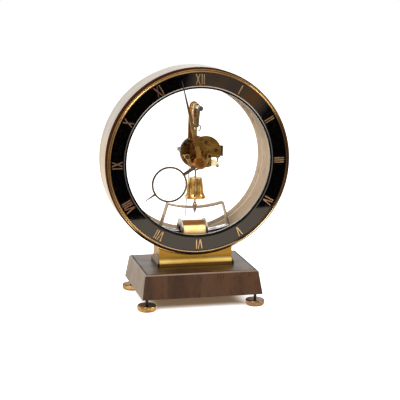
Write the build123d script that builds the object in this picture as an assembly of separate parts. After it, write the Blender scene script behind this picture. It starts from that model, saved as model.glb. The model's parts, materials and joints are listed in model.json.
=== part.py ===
from build123d import *
import os
from math import atan2, cos, degrees, hypot, pi, radians, sin, sqrt

# Table clock with a round open dial, a battery driven pendulum and a wooden base.
# Millimetres. X runs to the right of the dial, Y to the back, Z up; the feet stand on Z = 0.

# Levelling feet
FOOT_R = 10.9
FOOT_H = 6.9
FOOT_GAP = 7.3
FOOT_PITCH_X = 124.5
FOOT_PITCH_Y = 89.2
STUD_R = 1.7
STUD_REACH = 12.0
STUD_SEAT = 1.5
FOOT_RISE = 4.0
BUSH_WALL = 2.3
BUSH_H = 10.0

# Wooden base
BASE_L = 137.6
BASE_W = 105.4
BASE_H = 26.7
BASE_TOP_L = 127.2
BASE_TOP_W = 91.8
BASE_BEVEL = 1.4
BASE_Y = 0.0
BASE_ROOF = 5.0
POCKET_L = 105.0
POCKET_W = 70.0
LEDGE = 6.0
COVER_T = 1.6
COVER_GAP = 0.1

# Battery and its tray
CELL_R = 7.1
CELL_L = 50.4
TRAY_WALL = 2.0
TRAY_FLOOR = 1.5
TRAY_H = 12.0
CONTACT_T = 0.6
CONTACT_REACH = 2.2
CONTACT_W = 8.0

# Brass saddle between base and hoop
SADDLE_L = 89.0
SADDLE_FRONT = -17.0
SADDLE_BACK = 19.0
FASCIA_H = 3.8
COVE_H = 6.6
COVE_IN = 2.3
COVE_SAG = 0.45
SADDLE_RISE = 15.0
SHADOW_GAP = 2.7
SHADOW_D = 3.2
SADDLE_SCREW_X = 32.0
HOOP_SCREW_X = 24.0
SCREW_R = 1.9
SCREW_HEAD_R = 3.4
SCREW_HEAD_H = 2.0
LEAD_HOLE_R = 2.0

# Hoop, dial ring, bezel and rear glass
HOOP_R = 105.0
HOOP_WALL = 6.5
HOOP_D = 44.8
HOOP_EDGE = 2.0
DIAL_W = 19.0
DIAL_LAP = 1.2
DIAL_T = 2.6
DIAL_LIP = 1.3
DIAL_BEVEL = 1.6
DIAL_BEVEL_H = 0.8
BEZEL_STEP = 0.8
BEZEL_W = 4.4
BEAD_R = 1.0
REAR_STEP = 1.0
REAR_W = 21.1
REAR_T = 2.2
GLASS_T = 2.6
RETAINER_W = 12.5
RETAINER_T = 2.5
SEAT_GAP = 0.1

# Movement plates; places on the dial are (x, height above its centre)
CUP_AT = (1.8, 8.2)
CUP_R = 18.0
CUP_WALL = 1.1
CUP_FLOOR = 1.5
CUP_FLOOR_Y = 3.0
CUP_RIM_Y = -0.6
PLATE_AT = (9.6, 10.2)
PLATE_R = 17.9
PLATE_T = 1.5
PLATE_Y = -12.0
NOTCH_AT = (16.5, 3.6)
COCK_Y = -17.2
COCK_T = 1.2
COCK_LOBE = (12.75, 5.8)
COCK_LOBE_R = 2.9
COCK_HUB_R = 5.2
COCK_ARM = 3.4
COCK_DIP = (9.0, -2.4)
PILLAR_R = 1.7
PILLAR_TENON_R = 1.1
UPPER_PILLAR = (9.3, 21.0)
LOWER_PILLAR = (11.5, -2.6)
STUD_CIRCLE_R = 13.0
CARRIER_R = 2.2
CARRIER_BOLT_R = 1.5
CARRIER_NUT_R = 3.2
CARRIER_NUT_T = 2.0
CARRIER_TAIL = 0.6
SCREW_TOP_R = 2.1
SCREW_TOP_H = 0.9
SLOT_W = 0.5
SLOT_D = 0.4
SLOT_TURNS = (20, 115, 70, 150, 35)
PLATE_SCREW_AT = (21.1, 12.2)
RUNNING = 0.05

# Going train
ARBOR_R = 1.2
CENTRE_TEETH = 72
CENTRE_MODULE = 0.22
THIRD_PINION = 6
THIRD_TEETH = 60
THIRD_MODULE = 0.20
RATCHET_PINION = 6
RATCHET_TEETH = 45
RATCHET_R = 5.7
RATCHET_DEPTH = 0.9
THIRD_ANGLE = 120.0
RATCHET_ANGLE = 50.0
THIN_ARBOR_R = 0.35
WHEEL_T = 0.8
WHEEL_BACK_Y = 2.2
WHEEL_STEP = 0.8
BRIDGE_T = 0.8
BRIDGE_GAP = 0.8
BRIDGE_R = 2.3
BRIDGE_POST_R = 1.3
BRIDGE_LEFT = (-11.2, 13.5)
BRIDGE_RIGHT = (10.2, 2.0)
CLICK_AT = (-8.6, 19.2)
CLICK_GAP = 0.2
CLICK_POST_R = 0.9

# Motion work and hands
CANNON_TEETH = 12
MINUTE_TEETH = 36
MINUTE_MODULE = 0.4
MINUTE_PINION = 10
MINUTE_STUD_R = 0.9
HOUR_TEETH = 40
MOTION_T = 0.9
MOTION_STEP = 0.6
CANNON_R = 2.0
HOUR_PIPE_R = 3.0
HOUR_HUB_R = 4.2
PIPE_GAP = 0.06
HAND_T = 0.8
HOUR_HAND_Y = -28.4
HOUR_BOSS_R = 6.9
HOUR_BOSS_T = 2.0
HOUR_ANGLE = 213.4
HOUR_SHORT = 5.5
HOUR_RING_AT = 41.6
HOUR_RING_R = 20.1
HOUR_RING_WALL = 2.1
HOUR_ARM = 4.1
HOUR_POINT = 2.6
HOUR_GLASS_T = 0.5
MINUTE_HAND_Y = -30.6
MINUTE_BOSS_R = 4.2
MINUTE_BOSS_T = 1.4
MINUTE_ANGLE = 104.1
MINUTE_SHORT = 7.1
MINUTE_ROOT = 6.0
MINUTE_TIP = 0.7
HAND_NUT_R = 2.9
HAND_NUT_T = 2.0

# Suspension
PIVOT_H = 60.1
PEND_Y = -6.5
POST_R = 2.2
POST_FRONT = -24.5
POST_CAP_R = 2.9
POST_CAP_T = 2.5
HOOK_R = 4.8
HOOK_WALL = 1.4
STRAP_T = 2.0
STRAP_FOOT = 12.0
STRAP_FOOT_W = 8.6
STRAP_TOP_W = 3.2
STRAP_LEFT = -6.8
STRAP_LEAN = 1.8

# Pendulum
HANGER_EYE_R = 3.7
HANGER_EYE_W = 4.0
HANGER_TOP = 54.5
HANGER_FOOT = 37.0
HANGER_W = 8.0
HANGER_FOOT_W = 5.2
HANGER_T = 2.0
HANGER_SLOT_W = 1.1
HANGER_SLOT_L = 4.6
HANGER_SLOT_D = 0.7
HANGER_SLOT_TURN = 78
HANGER_SLOTS = ((-1.7, 49.6), (1.6, 47.6), (-0.6, 42.6))
STIRRUP_TOP = 23.0
STIRRUP_FOOT = -12.0
STIRRUP_W = 13.0
STIRRUP_WALL = 1.5
STIRRUP_T = 1.5
ROD_R = 0.95
PAWL_AT = (-7.0, 23.6)
PAWL_PIN_R = 0.7
PAWL_GAP = 0.3
BELL_H = 23.1
BELL_TOP_R = 7.9
BELL_WAIST_H = 5.2
BELL_WAIST_R = 10.1
BELL_RIM_H = 1.4
BELL_RIM_R = 12.3
ROD_SHARE_ABOVE_BELL = 0.42
ROD_SHARE_BELOW_BELL = 0.29
BELL_DISH = 1.6
BELL_LIP_W = 1.5
BELL_DISH_EDGE = 3.2
FLUTES = 12
FLUTE_R = 1.9
FLUTE_DEPTH = 0.5
NUT_R = 2.5
NUT_H = 4.2
ARC_HALF = 16.4
STRIP_W = 10.0
STRIP_T = 1.3
STRIP_LAP = 1.0
ARC_BOSS_R = 2.0
ARC_BOSS_RISE = 0.4
TIP_R = 2.0
TIP_H = 6.8
TIP_POINT_R = 0.35
MAGNET_R = 3.0
MAGNET_OVER = 1.0

# Coil
COIL_X = -2.5
STAND_T = 2.1
COIL_L = 29.4
FLANGE_R = 15.0
FLANGE_T = 1.2
BARREL_R = 11.7
COIL_BORE_R = 6.5
WIRE_R = 0.5
TURNS = 17
WINDING_LIFT = 0.1
TAG = 1.8
STAND_W = 13.0
STAND_OVER = 1.4

# Terminals, feed rod and small fittings
FEED_R = 0.45
FEED_Y = 10.0
FEED_FOOT_X = -9.1
FEED_TOP = (-2.7, -3.0)
FEED_POST_R = 1.5
FEED_POST_OVER = 2.0
FEED_BUSH_R = 3.0
FEED_BUSH_H = 2.4
FEED_BUSH_L = 4.0
RIM_SCREW_ANGLE = 168.7
RIM_SCREW_R = 2.1
RIM_SCREW_H = 3.5
RIM_SCREW_SHANK_R = 1.0
BLOCK_W = 4.0
BLOCK_H = 11.6
BLOCK_D = 4.0
BLOCK_AT = (28.25, 10.6)
ARM_H = 6.8
ARM_AT = (17.9, -2.9)
ARM_L = 9.0
BALL_R = 1.9
BALL_GAP = 0.2
BALL_X = 24.6
BALL_HIGH = 3.3
BALL_LOW = -6.5
BALL_POST_R = 0.8
HOOK_WIRE_R = 0.6
HOOK_WIRE_X = 1.6
HOOK_BEND_R = 3.2

# Sizes that follow from the ones above
BASE_Z = FOOT_H + FOOT_GAP
BASE_TOP = BASE_Z + BASE_H
ROOF_Z = BASE_TOP - BASE_ROOF
DIAL_Z = BASE_TOP + SADDLE_RISE + HOOP_R
HOOP_IN_R = HOOP_R - HOOP_WALL
BEZEL_OUT_R = HOOP_R - BEZEL_STEP
BEZEL_LIP_R = BEZEL_OUT_R - BEZEL_W
DIAL_OUT_R = BEZEL_LIP_R + DIAL_LAP
DIAL_IN_R = DIAL_OUT_R - DIAL_W
REAR_OUT_R = BEZEL_OUT_R - REAR_STEP
REAR_IN_R = REAR_OUT_R - REAR_W
RETAINER_IN_R = HOOP_IN_R - RETAINER_W
HOUR_REACH = DIAL_IN_R - HOUR_SHORT
MINUTE_REACH = DIAL_OUT_R - MINUTE_SHORT
FRONT_Y = -HOOP_D / 2
BACK_Y = HOOP_D / 2
SADDLE_Y = (SADDLE_FRONT + SADDLE_BACK) / 2
CUP_BACK = CUP_FLOOR_Y + CUP_FLOOR
PLATE_FRONT = PLATE_Y - PLATE_T
COCK_FRONT = COCK_Y - COCK_T
GLASS_FRONT = BACK_Y - GLASS_T
THIRD_DIST = CENTRE_MODULE * (CENTRE_TEETH + THIRD_PINION) / 2
RATCHET_DIST = THIRD_MODULE * (THIRD_TEETH + RATCHET_PINION) / 2
MOTION_DIST = MINUTE_MODULE * (MINUTE_TEETH + CANNON_TEETH) / 2
HOUR_MODULE = 2 * MOTION_DIST / (MINUTE_PINION + HOUR_TEETH)
THIRD_Y = WHEEL_BACK_Y - WHEEL_T - WHEEL_STEP
RATCHET_Y = THIRD_Y - WHEEL_T - WHEEL_STEP
BRIDGE_Y = RATCHET_Y - WHEEL_T - BRIDGE_GAP
CANNON_Y = PLATE_FRONT - 0.4
HOUR_WHEEL_Y = CANNON_Y - MOTION_T - MOTION_STEP
HOUR_PIPE_END = HOUR_HAND_Y - HAND_T / 2 - HOUR_BOSS_T / 2
CANNON_END = MINUTE_HAND_Y - HAND_T / 2 - MINUTE_BOSS_T / 2 - HAND_NUT_T
PIVOT_Z = DIAL_Z + PIVOT_H
COIL_H = FLANGE_R + STAND_T - HOOP_IN_R
MAGNET_ARC_R = PIVOT_H - COIL_H + MAGNET_OVER
ROD_HELD = BELL_H + NUT_H + ARC_BOSS_RISE + STRIP_T + TIP_H
ROD_FREE = STIRRUP_FOOT - COIL_H - FLANGE_R - ROD_HELD
BELL_TOP = STIRRUP_FOOT - ROD_SHARE_ABOVE_BELL * ROD_FREE
BELL_FOOT = BELL_TOP - BELL_H
BELL_WAIST = BELL_FOOT + BELL_WAIST_H
BELL_RIM = BELL_FOOT + BELL_RIM_H
NUT_LOW = BELL_FOOT - ROD_SHARE_BELOW_BELL * ROD_FREE - NUT_H
ARC_R = PIVOT_H - NUT_LOW + STRIP_T / 2 + ARC_BOSS_RISE + RUNNING
BALL_Y = PLATE_Y + BALL_GAP + BALL_R
ARM_D = 2 * (BALL_GAP + BALL_R)


def polar(centre, distance, angle):
    """Point at a distance and an angle in degrees from a centre, on the dial."""
    return (centre[0] + distance * cos(radians(angle)), centre[1] + distance * sin(radians(angle)))


THIRD_AT = polar((0, 0), THIRD_DIST, THIRD_ANGLE)
RATCHET_AT = polar(THIRD_AT, RATCHET_DIST, RATCHET_ANGLE)
MINUTE_AT = (0, MOTION_DIST)


def dial_plane(y):
    """Plane of the dial at a depth y: its own x is X and its own y is Z."""
    return Plane(origin=(0, y, DIAL_Z), x_dir=(1, 0, 0), z_dir=(0, -1, 0))


def slab(sketch, y_back, y_front):
    """A flat piece with the sketch's outline between two depths."""
    return extrude(dial_plane(y_back) * sketch, amount=y_back - y_front)


def rod_y(at, radius, y_back, y_front):
    """A round bar along Y."""
    return slab(Pos(*at) * Circle(radius), y_back, y_front)


def tube_y(at, outer, inner, y_back, y_front):
    """A tube along Y."""
    return slab(Pos(*at) * (Circle(outer) - Circle(inner)), y_back, y_front)


def upright(x, y, radius, low, high):
    """A round bar along Z."""
    return Pos(x, y, low) * Cylinder(radius, high - low, align=(Align.CENTER, Align.CENTER, Align.MIN))


def block(x, y, low, length, width, height):
    """A box on its lower face."""
    return Pos(x, y, low) * Box(length, width, height, align=(Align.CENTER, Align.CENTER, Align.MIN))


def turned(edges):
    """A ring about the dial's axis from edges given as (radius, y)."""
    return revolve(Pos(0, 0, DIAL_Z) * make_face(edges), Axis((0, 0, DIAL_Z), (0, 1, 0)))


def turned_path(points):
    """A ring about the dial's axis from straight runs given as (radius, y)."""
    return turned(Polyline(*points, close=True).edges())


def upright_turned(edges, x, y):
    """A body turned about a vertical axis from edges given as (radius, z)."""
    return Pos(x, y, 0) * revolve(Plane.XZ * make_face(edges), Axis.Z)


def link(start, end, width):
    """Flat bar with round ends between two points."""
    middle = ((start[0] + end[0]) / 2, (start[1] + end[1]) / 2)
    span = hypot(end[0] - start[0], end[1] - start[1])
    turn = degrees(atan2(end[1] - start[1], end[0] - start[0]))
    bar = Pos(*middle) * Rot(0, 0, turn) * Rectangle(span, width)
    return bar + Pos(*start) * Circle(width / 2) + Pos(*end) * Circle(width / 2)


def foot_places():
    """Names and plan positions of the four feet."""
    places = {}
    for y_name, y_sign in (("front", -1), ("back", 1)):
        for x_name, x_sign in (("left", -1), ("right", 1)):
            at = (x_sign * FOOT_PITCH_X / 2, BASE_Y + y_sign * FOOT_PITCH_Y / 2)
            places[y_name + "_" + x_name] = at
    return places


def cover_screw_places():
    """Plan positions of the four screws of the bottom cover."""
    dx = POCKET_L / 2 + LEDGE / 2
    dy = POCKET_W / 2 + LEDGE / 2
    return [(x, BASE_Y + y) for x in (-dx, dx) for y in (-dy, dy)]


COVER_SCREW_R = 1.25
COVER_HEAD_R = 2.4
COVER_HEAD_H = 1.0
CASE_SLOT_W = 0.8
CASE_SLOT_D = 0.5
COVER_SCREW_L = 9.0


def foot_disc(at):
    """Brass foot: a round pad with a soft lower edge and a bore for its stud."""
    floor_r = FOOT_R * 0.72
    shoulder = FOOT_H - 1.1
    edges = [
        Line((0, 0), (floor_r, 0)),
        ThreePointArc((floor_r, 0), (FOOT_R - 0.9, 1.0), (FOOT_R, FOOT_H * 0.46)),
        Line((FOOT_R, FOOT_H * 0.46), (FOOT_R - 0.2, shoulder)),
        ThreePointArc((FOOT_R - 0.2, shoulder), (FOOT_R - 0.6, FOOT_H - 0.35), (FOOT_R - 1.5, FOOT_H)),
        Line((FOOT_R - 1.5, FOOT_H), (0, FOOT_H)),
        Line((0, FOOT_H), (0, 0)),
    ]
    return upright_turned(edges, *at) - upright(*at, STUD_R, STUD_SEAT, FOOT_H)


def foot_stud(at):
    return upright(*at, STUD_R, STUD_SEAT, BASE_Z + STUD_REACH)


def foot_bushes():
    """Brass bushes let into the base, one round each stud."""
    out = Part()
    for at in foot_places().values():
        outer = upright(*at, STUD_R + BUSH_WALL, BASE_Z, BASE_Z + BUSH_H)
        out += outer - upright(*at, STUD_R + RUNNING, BASE_Z, BASE_Z + BUSH_H)
    return out


def base_level(length, width, z):
    return Pos(0, BASE_Y, z) * Rectangle(length, width)


def base_body():
    """Walnut base: sloping sides, a bevelled top edge and a pocket for the battery."""
    bevel_z = BASE_TOP - BASE_BEVEL
    shoulder = base_level(BASE_TOP_L + 2 * BASE_BEVEL, BASE_TOP_W + 2 * BASE_BEVEL, bevel_z)
    body = loft([base_level(BASE_L, BASE_W, BASE_Z), shoulder], ruled=True)
    body += loft([shoulder, base_level(BASE_TOP_L, BASE_TOP_W, BASE_TOP)], ruled=True)
    body -= block(0, BASE_Y, BASE_Z, POCKET_L, POCKET_W, ROOF_Z - BASE_Z)
    body -= block(0, BASE_Y, BASE_Z, POCKET_L + 2 * LEDGE, POCKET_W + 2 * LEDGE, COVER_T)
    for at in foot_places().values():
        body -= upright(*at, STUD_R + BUSH_WALL, BASE_Z, BASE_Z + BUSH_H)
        body -= upright(*at, STUD_R + 0.4, BASE_Z, BASE_Z + STUD_REACH + FOOT_RISE + 1)
    for at in cover_screw_places():
        body -= upright(*at, COVER_SCREW_R, BASE_Z, BASE_Z + COVER_SCREW_L)
    for x in (-SADDLE_SCREW_X, SADDLE_SCREW_X):
        body -= upright(x, SADDLE_Y, SCREW_R, ROOF_Z, BASE_TOP)
    body -= upright(FEED_FOOT_X, FEED_Y, LEAD_HOLE_R, ROOF_Z, BASE_TOP)
    return body


def base_cover():
    """Sheet cover that closes the battery pocket from below."""
    length = POCKET_L + 2 * LEDGE - 2 * COVER_GAP
    width = POCKET_W + 2 * LEDGE - 2 * COVER_GAP
    cover = block(0, BASE_Y, BASE_Z, length, width, COVER_T)
    for at in cover_screw_places():
        cover -= upright(*at, COVER_SCREW_R, BASE_Z, BASE_Z + COVER_T)
        cover -= upright(*at, COVER_HEAD_R, BASE_Z, BASE_Z + COVER_HEAD_H)
    return cover


TRAY_Z = BASE_Z + COVER_T
CELL_Z = TRAY_Z + TRAY_FLOOR + CELL_R + RUNNING
TRAY_IN_L = CELL_L + 2 * (CONTACT_T + CONTACT_REACH + RUNNING)


def battery_tray():
    """Open tray on the cover with a wall at each side and end of the cell."""
    width = 2 * CELL_R + 2 * RUNNING
    outer = block(0, BASE_Y, TRAY_Z, TRAY_IN_L + 2 * TRAY_WALL, width + 2 * TRAY_WALL, TRAY_H)
    return outer - block(0, BASE_Y, TRAY_Z + TRAY_FLOOR, TRAY_IN_L, width, TRAY_H)


def battery():
    """Round cell with its contact nub, lying along X."""
    cell = Pos(0, BASE_Y, CELL_Z) * Rot(0, 90, 0) * Cylinder(CELL_R, CELL_L - 1.2)
    nub = Pos(CELL_L / 2 - 0.6, BASE_Y, CELL_Z) * Rot(0, 90, 0) * Cylinder(CELL_R * 0.38, 1.2)
    return cell + nub


def battery_contacts():
    """Two leaf contacts, each with a pressed dimple that meets the cell."""
    out = Part()
    for side in (-1, 1):
        leaf_x = side * (TRAY_IN_L / 2 - CONTACT_T / 2)
        leaf = block(leaf_x, BASE_Y, TRAY_Z + TRAY_FLOOR, CONTACT_T, CONTACT_W, TRAY_H - TRAY_FLOOR)
        dimple_x = side * (TRAY_IN_L / 2 - CONTACT_T - CONTACT_REACH / 2)
        dimple = Pos(dimple_x, BASE_Y, CELL_Z) * Rot(0, 90, 0) * Cylinder(2.2, CONTACT_REACH)
        out += leaf + dimple
    return out


def cove_section(low, high):
    """Section of the fascia and the hollow cove between two end faces."""
    z0 = BASE_TOP
    z1 = z0 + FASCIA_H
    z2 = z1 + COVE_H
    middle = (z1 + z2) / 2
    sag = COVE_IN / 2 + COVE_SAG
    edges = [
        Line((low, z0), (low, z1)),
        ThreePointArc((low, z1), (low + sag, middle), (low + COVE_IN, z2)),
        Line((low + COVE_IN, z2), (high - COVE_IN, z2)),
        ThreePointArc((high - COVE_IN, z2), (high - sag, middle), (high, z1)),
        Line((high, z1), (high, z0)),
        Line((high, z0), (low, z0)),
    ]
    return make_face(edges)


def saddle():
    """Brass saddle: fascia, cove on all four sides and a neck cut to the hoop's curve."""
    across = Plane(origin=(-SADDLE_L / 2, 0, 0), x_dir=(0, 1, 0), z_dir=(1, 0, 0))
    body = extrude(across * cove_section(SADDLE_FRONT, SADDLE_BACK), amount=SADDLE_L)
    along = Plane(origin=(0, SADDLE_BACK, 0), x_dir=(1, 0, 0), z_dir=(0, -1, 0))
    body &= extrude(along * cove_section(-SADDLE_L / 2, SADDLE_L / 2), amount=SADDLE_BACK - SADDLE_FRONT)
    neck_front = SADDLE_FRONT + COVE_IN
    neck_back = SADDLE_BACK - COVE_IN
    neck_y = (neck_front + neck_back) / 2
    neck_l = SADDLE_L - 2 * COVE_IN
    neck_foot = BASE_TOP + FASCIA_H + COVE_H
    neck_top = DIAL_Z - sqrt(HOOP_R ** 2 - (neck_l / 2) ** 2)
    body += block(0, neck_y, neck_foot, neck_l, neck_back - neck_front, neck_top - neck_foot)
    body -= rod_y((0, 0), HOOP_R, BACK_Y, FRONT_Y)
    body -= rod_y((0, 0), HOOP_R + SHADOW_GAP, neck_front + SHADOW_D, FRONT_Y)
    body -= rod_y((0, 0), HOOP_R + SHADOW_GAP, BACK_Y, neck_back - SHADOW_D)
    for x in (-SADDLE_SCREW_X, SADDLE_SCREW_X):
        body -= upright(x, SADDLE_Y, SCREW_R, BASE_TOP, BASE_TOP + FASCIA_H + COVE_H)
    for x in (-HOOP_SCREW_X, HOOP_SCREW_X):
        body -= upright(x, SADDLE_Y, SCREW_R, BASE_TOP + FASCIA_H, DIAL_Z)
    body -= upright(FEED_FOOT_X, FEED_Y, LEAD_HOLE_R, BASE_TOP, DIAL_Z)
    return body


HOOP_SCREW_SEAT = DIAL_Z - HOOP_IN_R - 0.4


def case_screws():
    """Four cover screws, two up through the base and two down through the hoop into the saddle."""
    out = Part()
    for at in cover_screw_places():
        out += upright(*at, COVER_HEAD_R, BASE_Z, BASE_Z + COVER_HEAD_H)
        out += upright(*at, COVER_SCREW_R, BASE_Z, BASE_Z + COVER_SCREW_L)
        out -= block(*at, BASE_Z, 2 * COVER_HEAD_R + RUNNING, CASE_SLOT_W, CASE_SLOT_D)
    across = 2 * SCREW_HEAD_R + RUNNING
    for x in (-SADDLE_SCREW_X, SADDLE_SCREW_X):
        out += upright(x, SADDLE_Y, SCREW_HEAD_R, ROOF_Z - SCREW_HEAD_H, ROOF_Z)
        out += upright(x, SADDLE_Y, SCREW_R, ROOF_Z, BASE_TOP + FASCIA_H + COVE_H)
        out -= block(x, SADDLE_Y, ROOF_Z - SCREW_HEAD_H, across, CASE_SLOT_W, CASE_SLOT_D)
    for x in (-HOOP_SCREW_X, HOOP_SCREW_X):
        out += upright(x, SADDLE_Y, SCREW_HEAD_R, HOOP_SCREW_SEAT, HOOP_SCREW_SEAT + SCREW_HEAD_H)
        out += upright(x, SADDLE_Y, SCREW_R, BASE_TOP + FASCIA_H, HOOP_SCREW_SEAT)
        slot_low = HOOP_SCREW_SEAT + SCREW_HEAD_H - CASE_SLOT_D
        out -= block(x, SADDLE_Y, slot_low, across, CASE_SLOT_W, CASE_SLOT_D)
    return out


def hoop():
    """Wooden hoop: a deep ring with rounded outer edges."""
    corner = HOOP_EDGE * (1 - sqrt(0.5))
    flat_r = HOOP_R - HOOP_EDGE
    edges = [
        Line((HOOP_IN_R, FRONT_Y), (flat_r, FRONT_Y)),
        ThreePointArc((flat_r, FRONT_Y), (HOOP_R - corner, FRONT_Y + corner), (HOOP_R, FRONT_Y + HOOP_EDGE)),
        Line((HOOP_R, FRONT_Y + HOOP_EDGE), (HOOP_R, BACK_Y - HOOP_EDGE)),
        ThreePointArc((HOOP_R, BACK_Y - HOOP_EDGE), (HOOP_R - corner, BACK_Y - corner), (flat_r, BACK_Y)),
        Line((flat_r, BACK_Y), (HOOP_IN_R, BACK_Y)),
        Line((HOOP_IN_R, BACK_Y), (HOOP_IN_R, FRONT_Y)),
    ]
    body = turned(edges)
    for x in (-HOOP_SCREW_X, HOOP_SCREW_X):
        body -= upright(x, SADDLE_Y, SCREW_HEAD_R + SEAT_GAP, HOOP_SCREW_SEAT, DIAL_Z - HOOP_IN_R / 2)
        body -= upright(x, SADDLE_Y, SCREW_R, DIAL_Z - HOOP_R - 1, HOOP_SCREW_SEAT)
    return body - upright(FEED_FOOT_X, FEED_Y, LEAD_HOLE_R, DIAL_Z - HOOP_R - 1, DIAL_Z - HOOP_IN_R / 2)


def bezel():
    """Brass bezel with two round beads, holding the dial ring by a thin lip."""
    seat_r = DIAL_OUT_R + SEAT_GAP
    lip_y = FRONT_Y - DIAL_T
    bead_y = lip_y - 0.3
    groove = (BEZEL_LIP_R + BEZEL_OUT_R) / 2
    outer_mid = (groove + BEZEL_OUT_R) / 2
    inner_mid = (groove + BEZEL_LIP_R) / 2
    edges = [
        Line((seat_r, FRONT_Y), (BEZEL_OUT_R, FRONT_Y)),
        Line((BEZEL_OUT_R, FRONT_Y), (BEZEL_OUT_R, bead_y)),
        ThreePointArc((BEZEL_OUT_R, bead_y), (outer_mid, bead_y - BEAD_R), (groove, bead_y)),
        ThreePointArc((groove, bead_y), (inner_mid, bead_y - BEAD_R), (BEZEL_LIP_R, bead_y)),
        Line((BEZEL_LIP_R, bead_y), (BEZEL_LIP_R, lip_y)),
        Line((BEZEL_LIP_R, lip_y), (seat_r, lip_y)),
        Line((seat_r, lip_y), (seat_r, FRONT_Y)),
    ]
    return turned(edges)


def chapter_ring():
    """Black glass dial ring with a polished bevel and a narrow lip round its opening."""
    face = FRONT_Y - DIAL_T
    lip = face + DIAL_BEVEL_H
    bevel_r = DIAL_IN_R + DIAL_LIP
    points = [
        (DIAL_IN_R, FRONT_Y), (DIAL_OUT_R, FRONT_Y), (DIAL_OUT_R, face),
        (bevel_r + DIAL_BEVEL, face), (bevel_r, lip), (DIAL_IN_R, lip),
    ]
    return turned_path(points)


def rear_ring():
    """Flat ring that closes the back of the hoop round the glass."""
    edge = 0.8
    points = [
        (REAR_IN_R, BACK_Y), (REAR_OUT_R, BACK_Y), (REAR_OUT_R, BACK_Y + REAR_T - edge),
        (REAR_OUT_R - edge, BACK_Y + REAR_T), (REAR_IN_R, BACK_Y + REAR_T),
    ]
    return turned_path(points)


def carrier_places():
    return [polar(CUP_AT, STUD_CIRCLE_R, angle) for angle in (60, 180, 300)]


def rear_glass():
    """Clear disc that carries the movement."""
    glass = rod_y((0, 0), HOOP_IN_R - 2 * SEAT_GAP, BACK_Y, GLASS_FRONT)
    for at in carrier_places():
        glass -= rod_y(at, CARRIER_BOLT_R + 0.3, BACK_Y, GLASS_FRONT)
    return glass


def glass_retainer():
    """Ring inside the hoop that presses the glass against the rear ring."""
    return tube_y((0, 0), HOOP_IN_R, RETAINER_IN_R, GLASS_FRONT, GLASS_FRONT - RETAINER_T)


def carrier_studs():
    """Three studs between the movement and the glass, with their bolt ends and hexagon nuts."""
    out = Part()
    for at in carrier_places():
        out += rod_y(at, CARRIER_R, GLASS_FRONT, CUP_BACK)
        out += rod_y(at, CARRIER_BOLT_R, BACK_Y + CARRIER_NUT_T + CARRIER_TAIL, GLASS_FRONT)
        nut = Pos(*at) * RegularPolygon(CARRIER_NUT_R, 6)
        out += slab(nut, BACK_Y + CARRIER_NUT_T, BACK_Y)
    return out


def movement_cup():
    """Round brass cup, open to the front, that holds the going train."""
    cup = rod_y(CUP_AT, CUP_R, CUP_BACK, CUP_RIM_Y)
    cup -= rod_y(CUP_AT, CUP_R - CUP_WALL, CUP_FLOOR_Y, CUP_RIM_Y)
    shank = rim_screw_shank()
    pivots = (((0, 0), ARBOR_R), (THIRD_AT, THIN_ARBOR_R), (RATCHET_AT, THIN_ARBOR_R), (CLICK_AT, CLICK_POST_R))
    for at, radius in pivots:
        cup -= rod_y(at, radius + RUNNING, CUP_BACK, CUP_FLOOR_Y)
    return cup - shank


def rim_screw_plane(distance):
    """Plane across the rim screw at a distance from the cup's centre."""
    at = polar(CUP_AT, distance, RIM_SCREW_ANGLE)
    out = (cos(radians(RIM_SCREW_ANGLE)), 0, sin(radians(RIM_SCREW_ANGLE)))
    middle = (CUP_RIM_Y + CUP_FLOOR_Y) / 2
    return Plane(origin=(at[0], middle, DIAL_Z + at[1]), z_dir=out)


def rim_screw_shank():
    inner = CUP_R - CUP_WALL
    return extrude(rim_screw_plane(inner) * Circle(RIM_SCREW_SHANK_R), amount=CUP_WALL + 0.3)


def front_plate():
    """Round brass plate in front of the pendulum, cut away at the lower right, with its stud."""
    outline = Pos(*PLATE_AT) * Circle(PLATE_R)
    corner = Pos(NOTCH_AT[0] + PLATE_R, NOTCH_AT[1] - PLATE_R) * Rectangle(2 * PLATE_R, 2 * PLATE_R)
    outline -= corner
    outline -= Circle(ARBOR_R + RUNNING)
    for at in (UPPER_PILLAR, LOWER_PILLAR, COCK_LOBE):
        outline -= Pos(*at) * Circle(PILLAR_TENON_R)
    head_y = HOUR_WHEEL_Y - MOTION_T - 2 * RUNNING
    plate = slab(outline, PLATE_Y, PLATE_FRONT)
    plate += rod_y(MINUTE_AT, MINUTE_STUD_R, PLATE_FRONT, head_y)
    return plate + rod_y(MINUTE_AT, MINUTE_STUD_R + 0.6, head_y, head_y - 0.3)


def movement_pillars():
    """Four pillars: two carry the plate, one the plate and cock, one the cock alone."""
    out = Part()
    for at in (UPPER_PILLAR, LOWER_PILLAR):
        out += rod_y(at, PILLAR_R, CUP_FLOOR_Y, PLATE_Y)
        out += rod_y(at, PILLAR_TENON_R, PLATE_Y, PLATE_FRONT)
    right = rod_y(COCK_LOBE, PILLAR_R, CUP_FLOOR_Y, PLATE_Y)
    right += rod_y(COCK_LOBE, PILLAR_TENON_R, PLATE_Y, PLATE_FRONT)
    right += rod_y(COCK_LOBE, PILLAR_R, PLATE_FRONT, COCK_Y)
    left = rod_y((-COCK_LOBE[0], COCK_LOBE[1]), PILLAR_R, CUP_FLOOR_Y, COCK_Y)
    return out + right + left


def front_cock():
    """Anchor shaped bridge over the motion work: two lobes, a low curved arm and a hub."""
    left = (-COCK_LOBE[0], COCK_LOBE[1])
    low = (0, -COCK_HUB_R + COCK_ARM / 2)
    outline = Circle(COCK_HUB_R)
    for side, lobe in ((-1, left), (1, COCK_LOBE)):
        dip = (side * COCK_DIP[0], COCK_DIP[1])
        outline += Pos(*lobe) * Circle(COCK_LOBE_R)
        outline += link(lobe, dip, COCK_ARM)
        outline += link(dip, low, COCK_ARM)
    outline -= Circle(HOUR_PIPE_R + RUNNING)
    return slab(outline, COCK_Y, COCK_FRONT)


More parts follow.
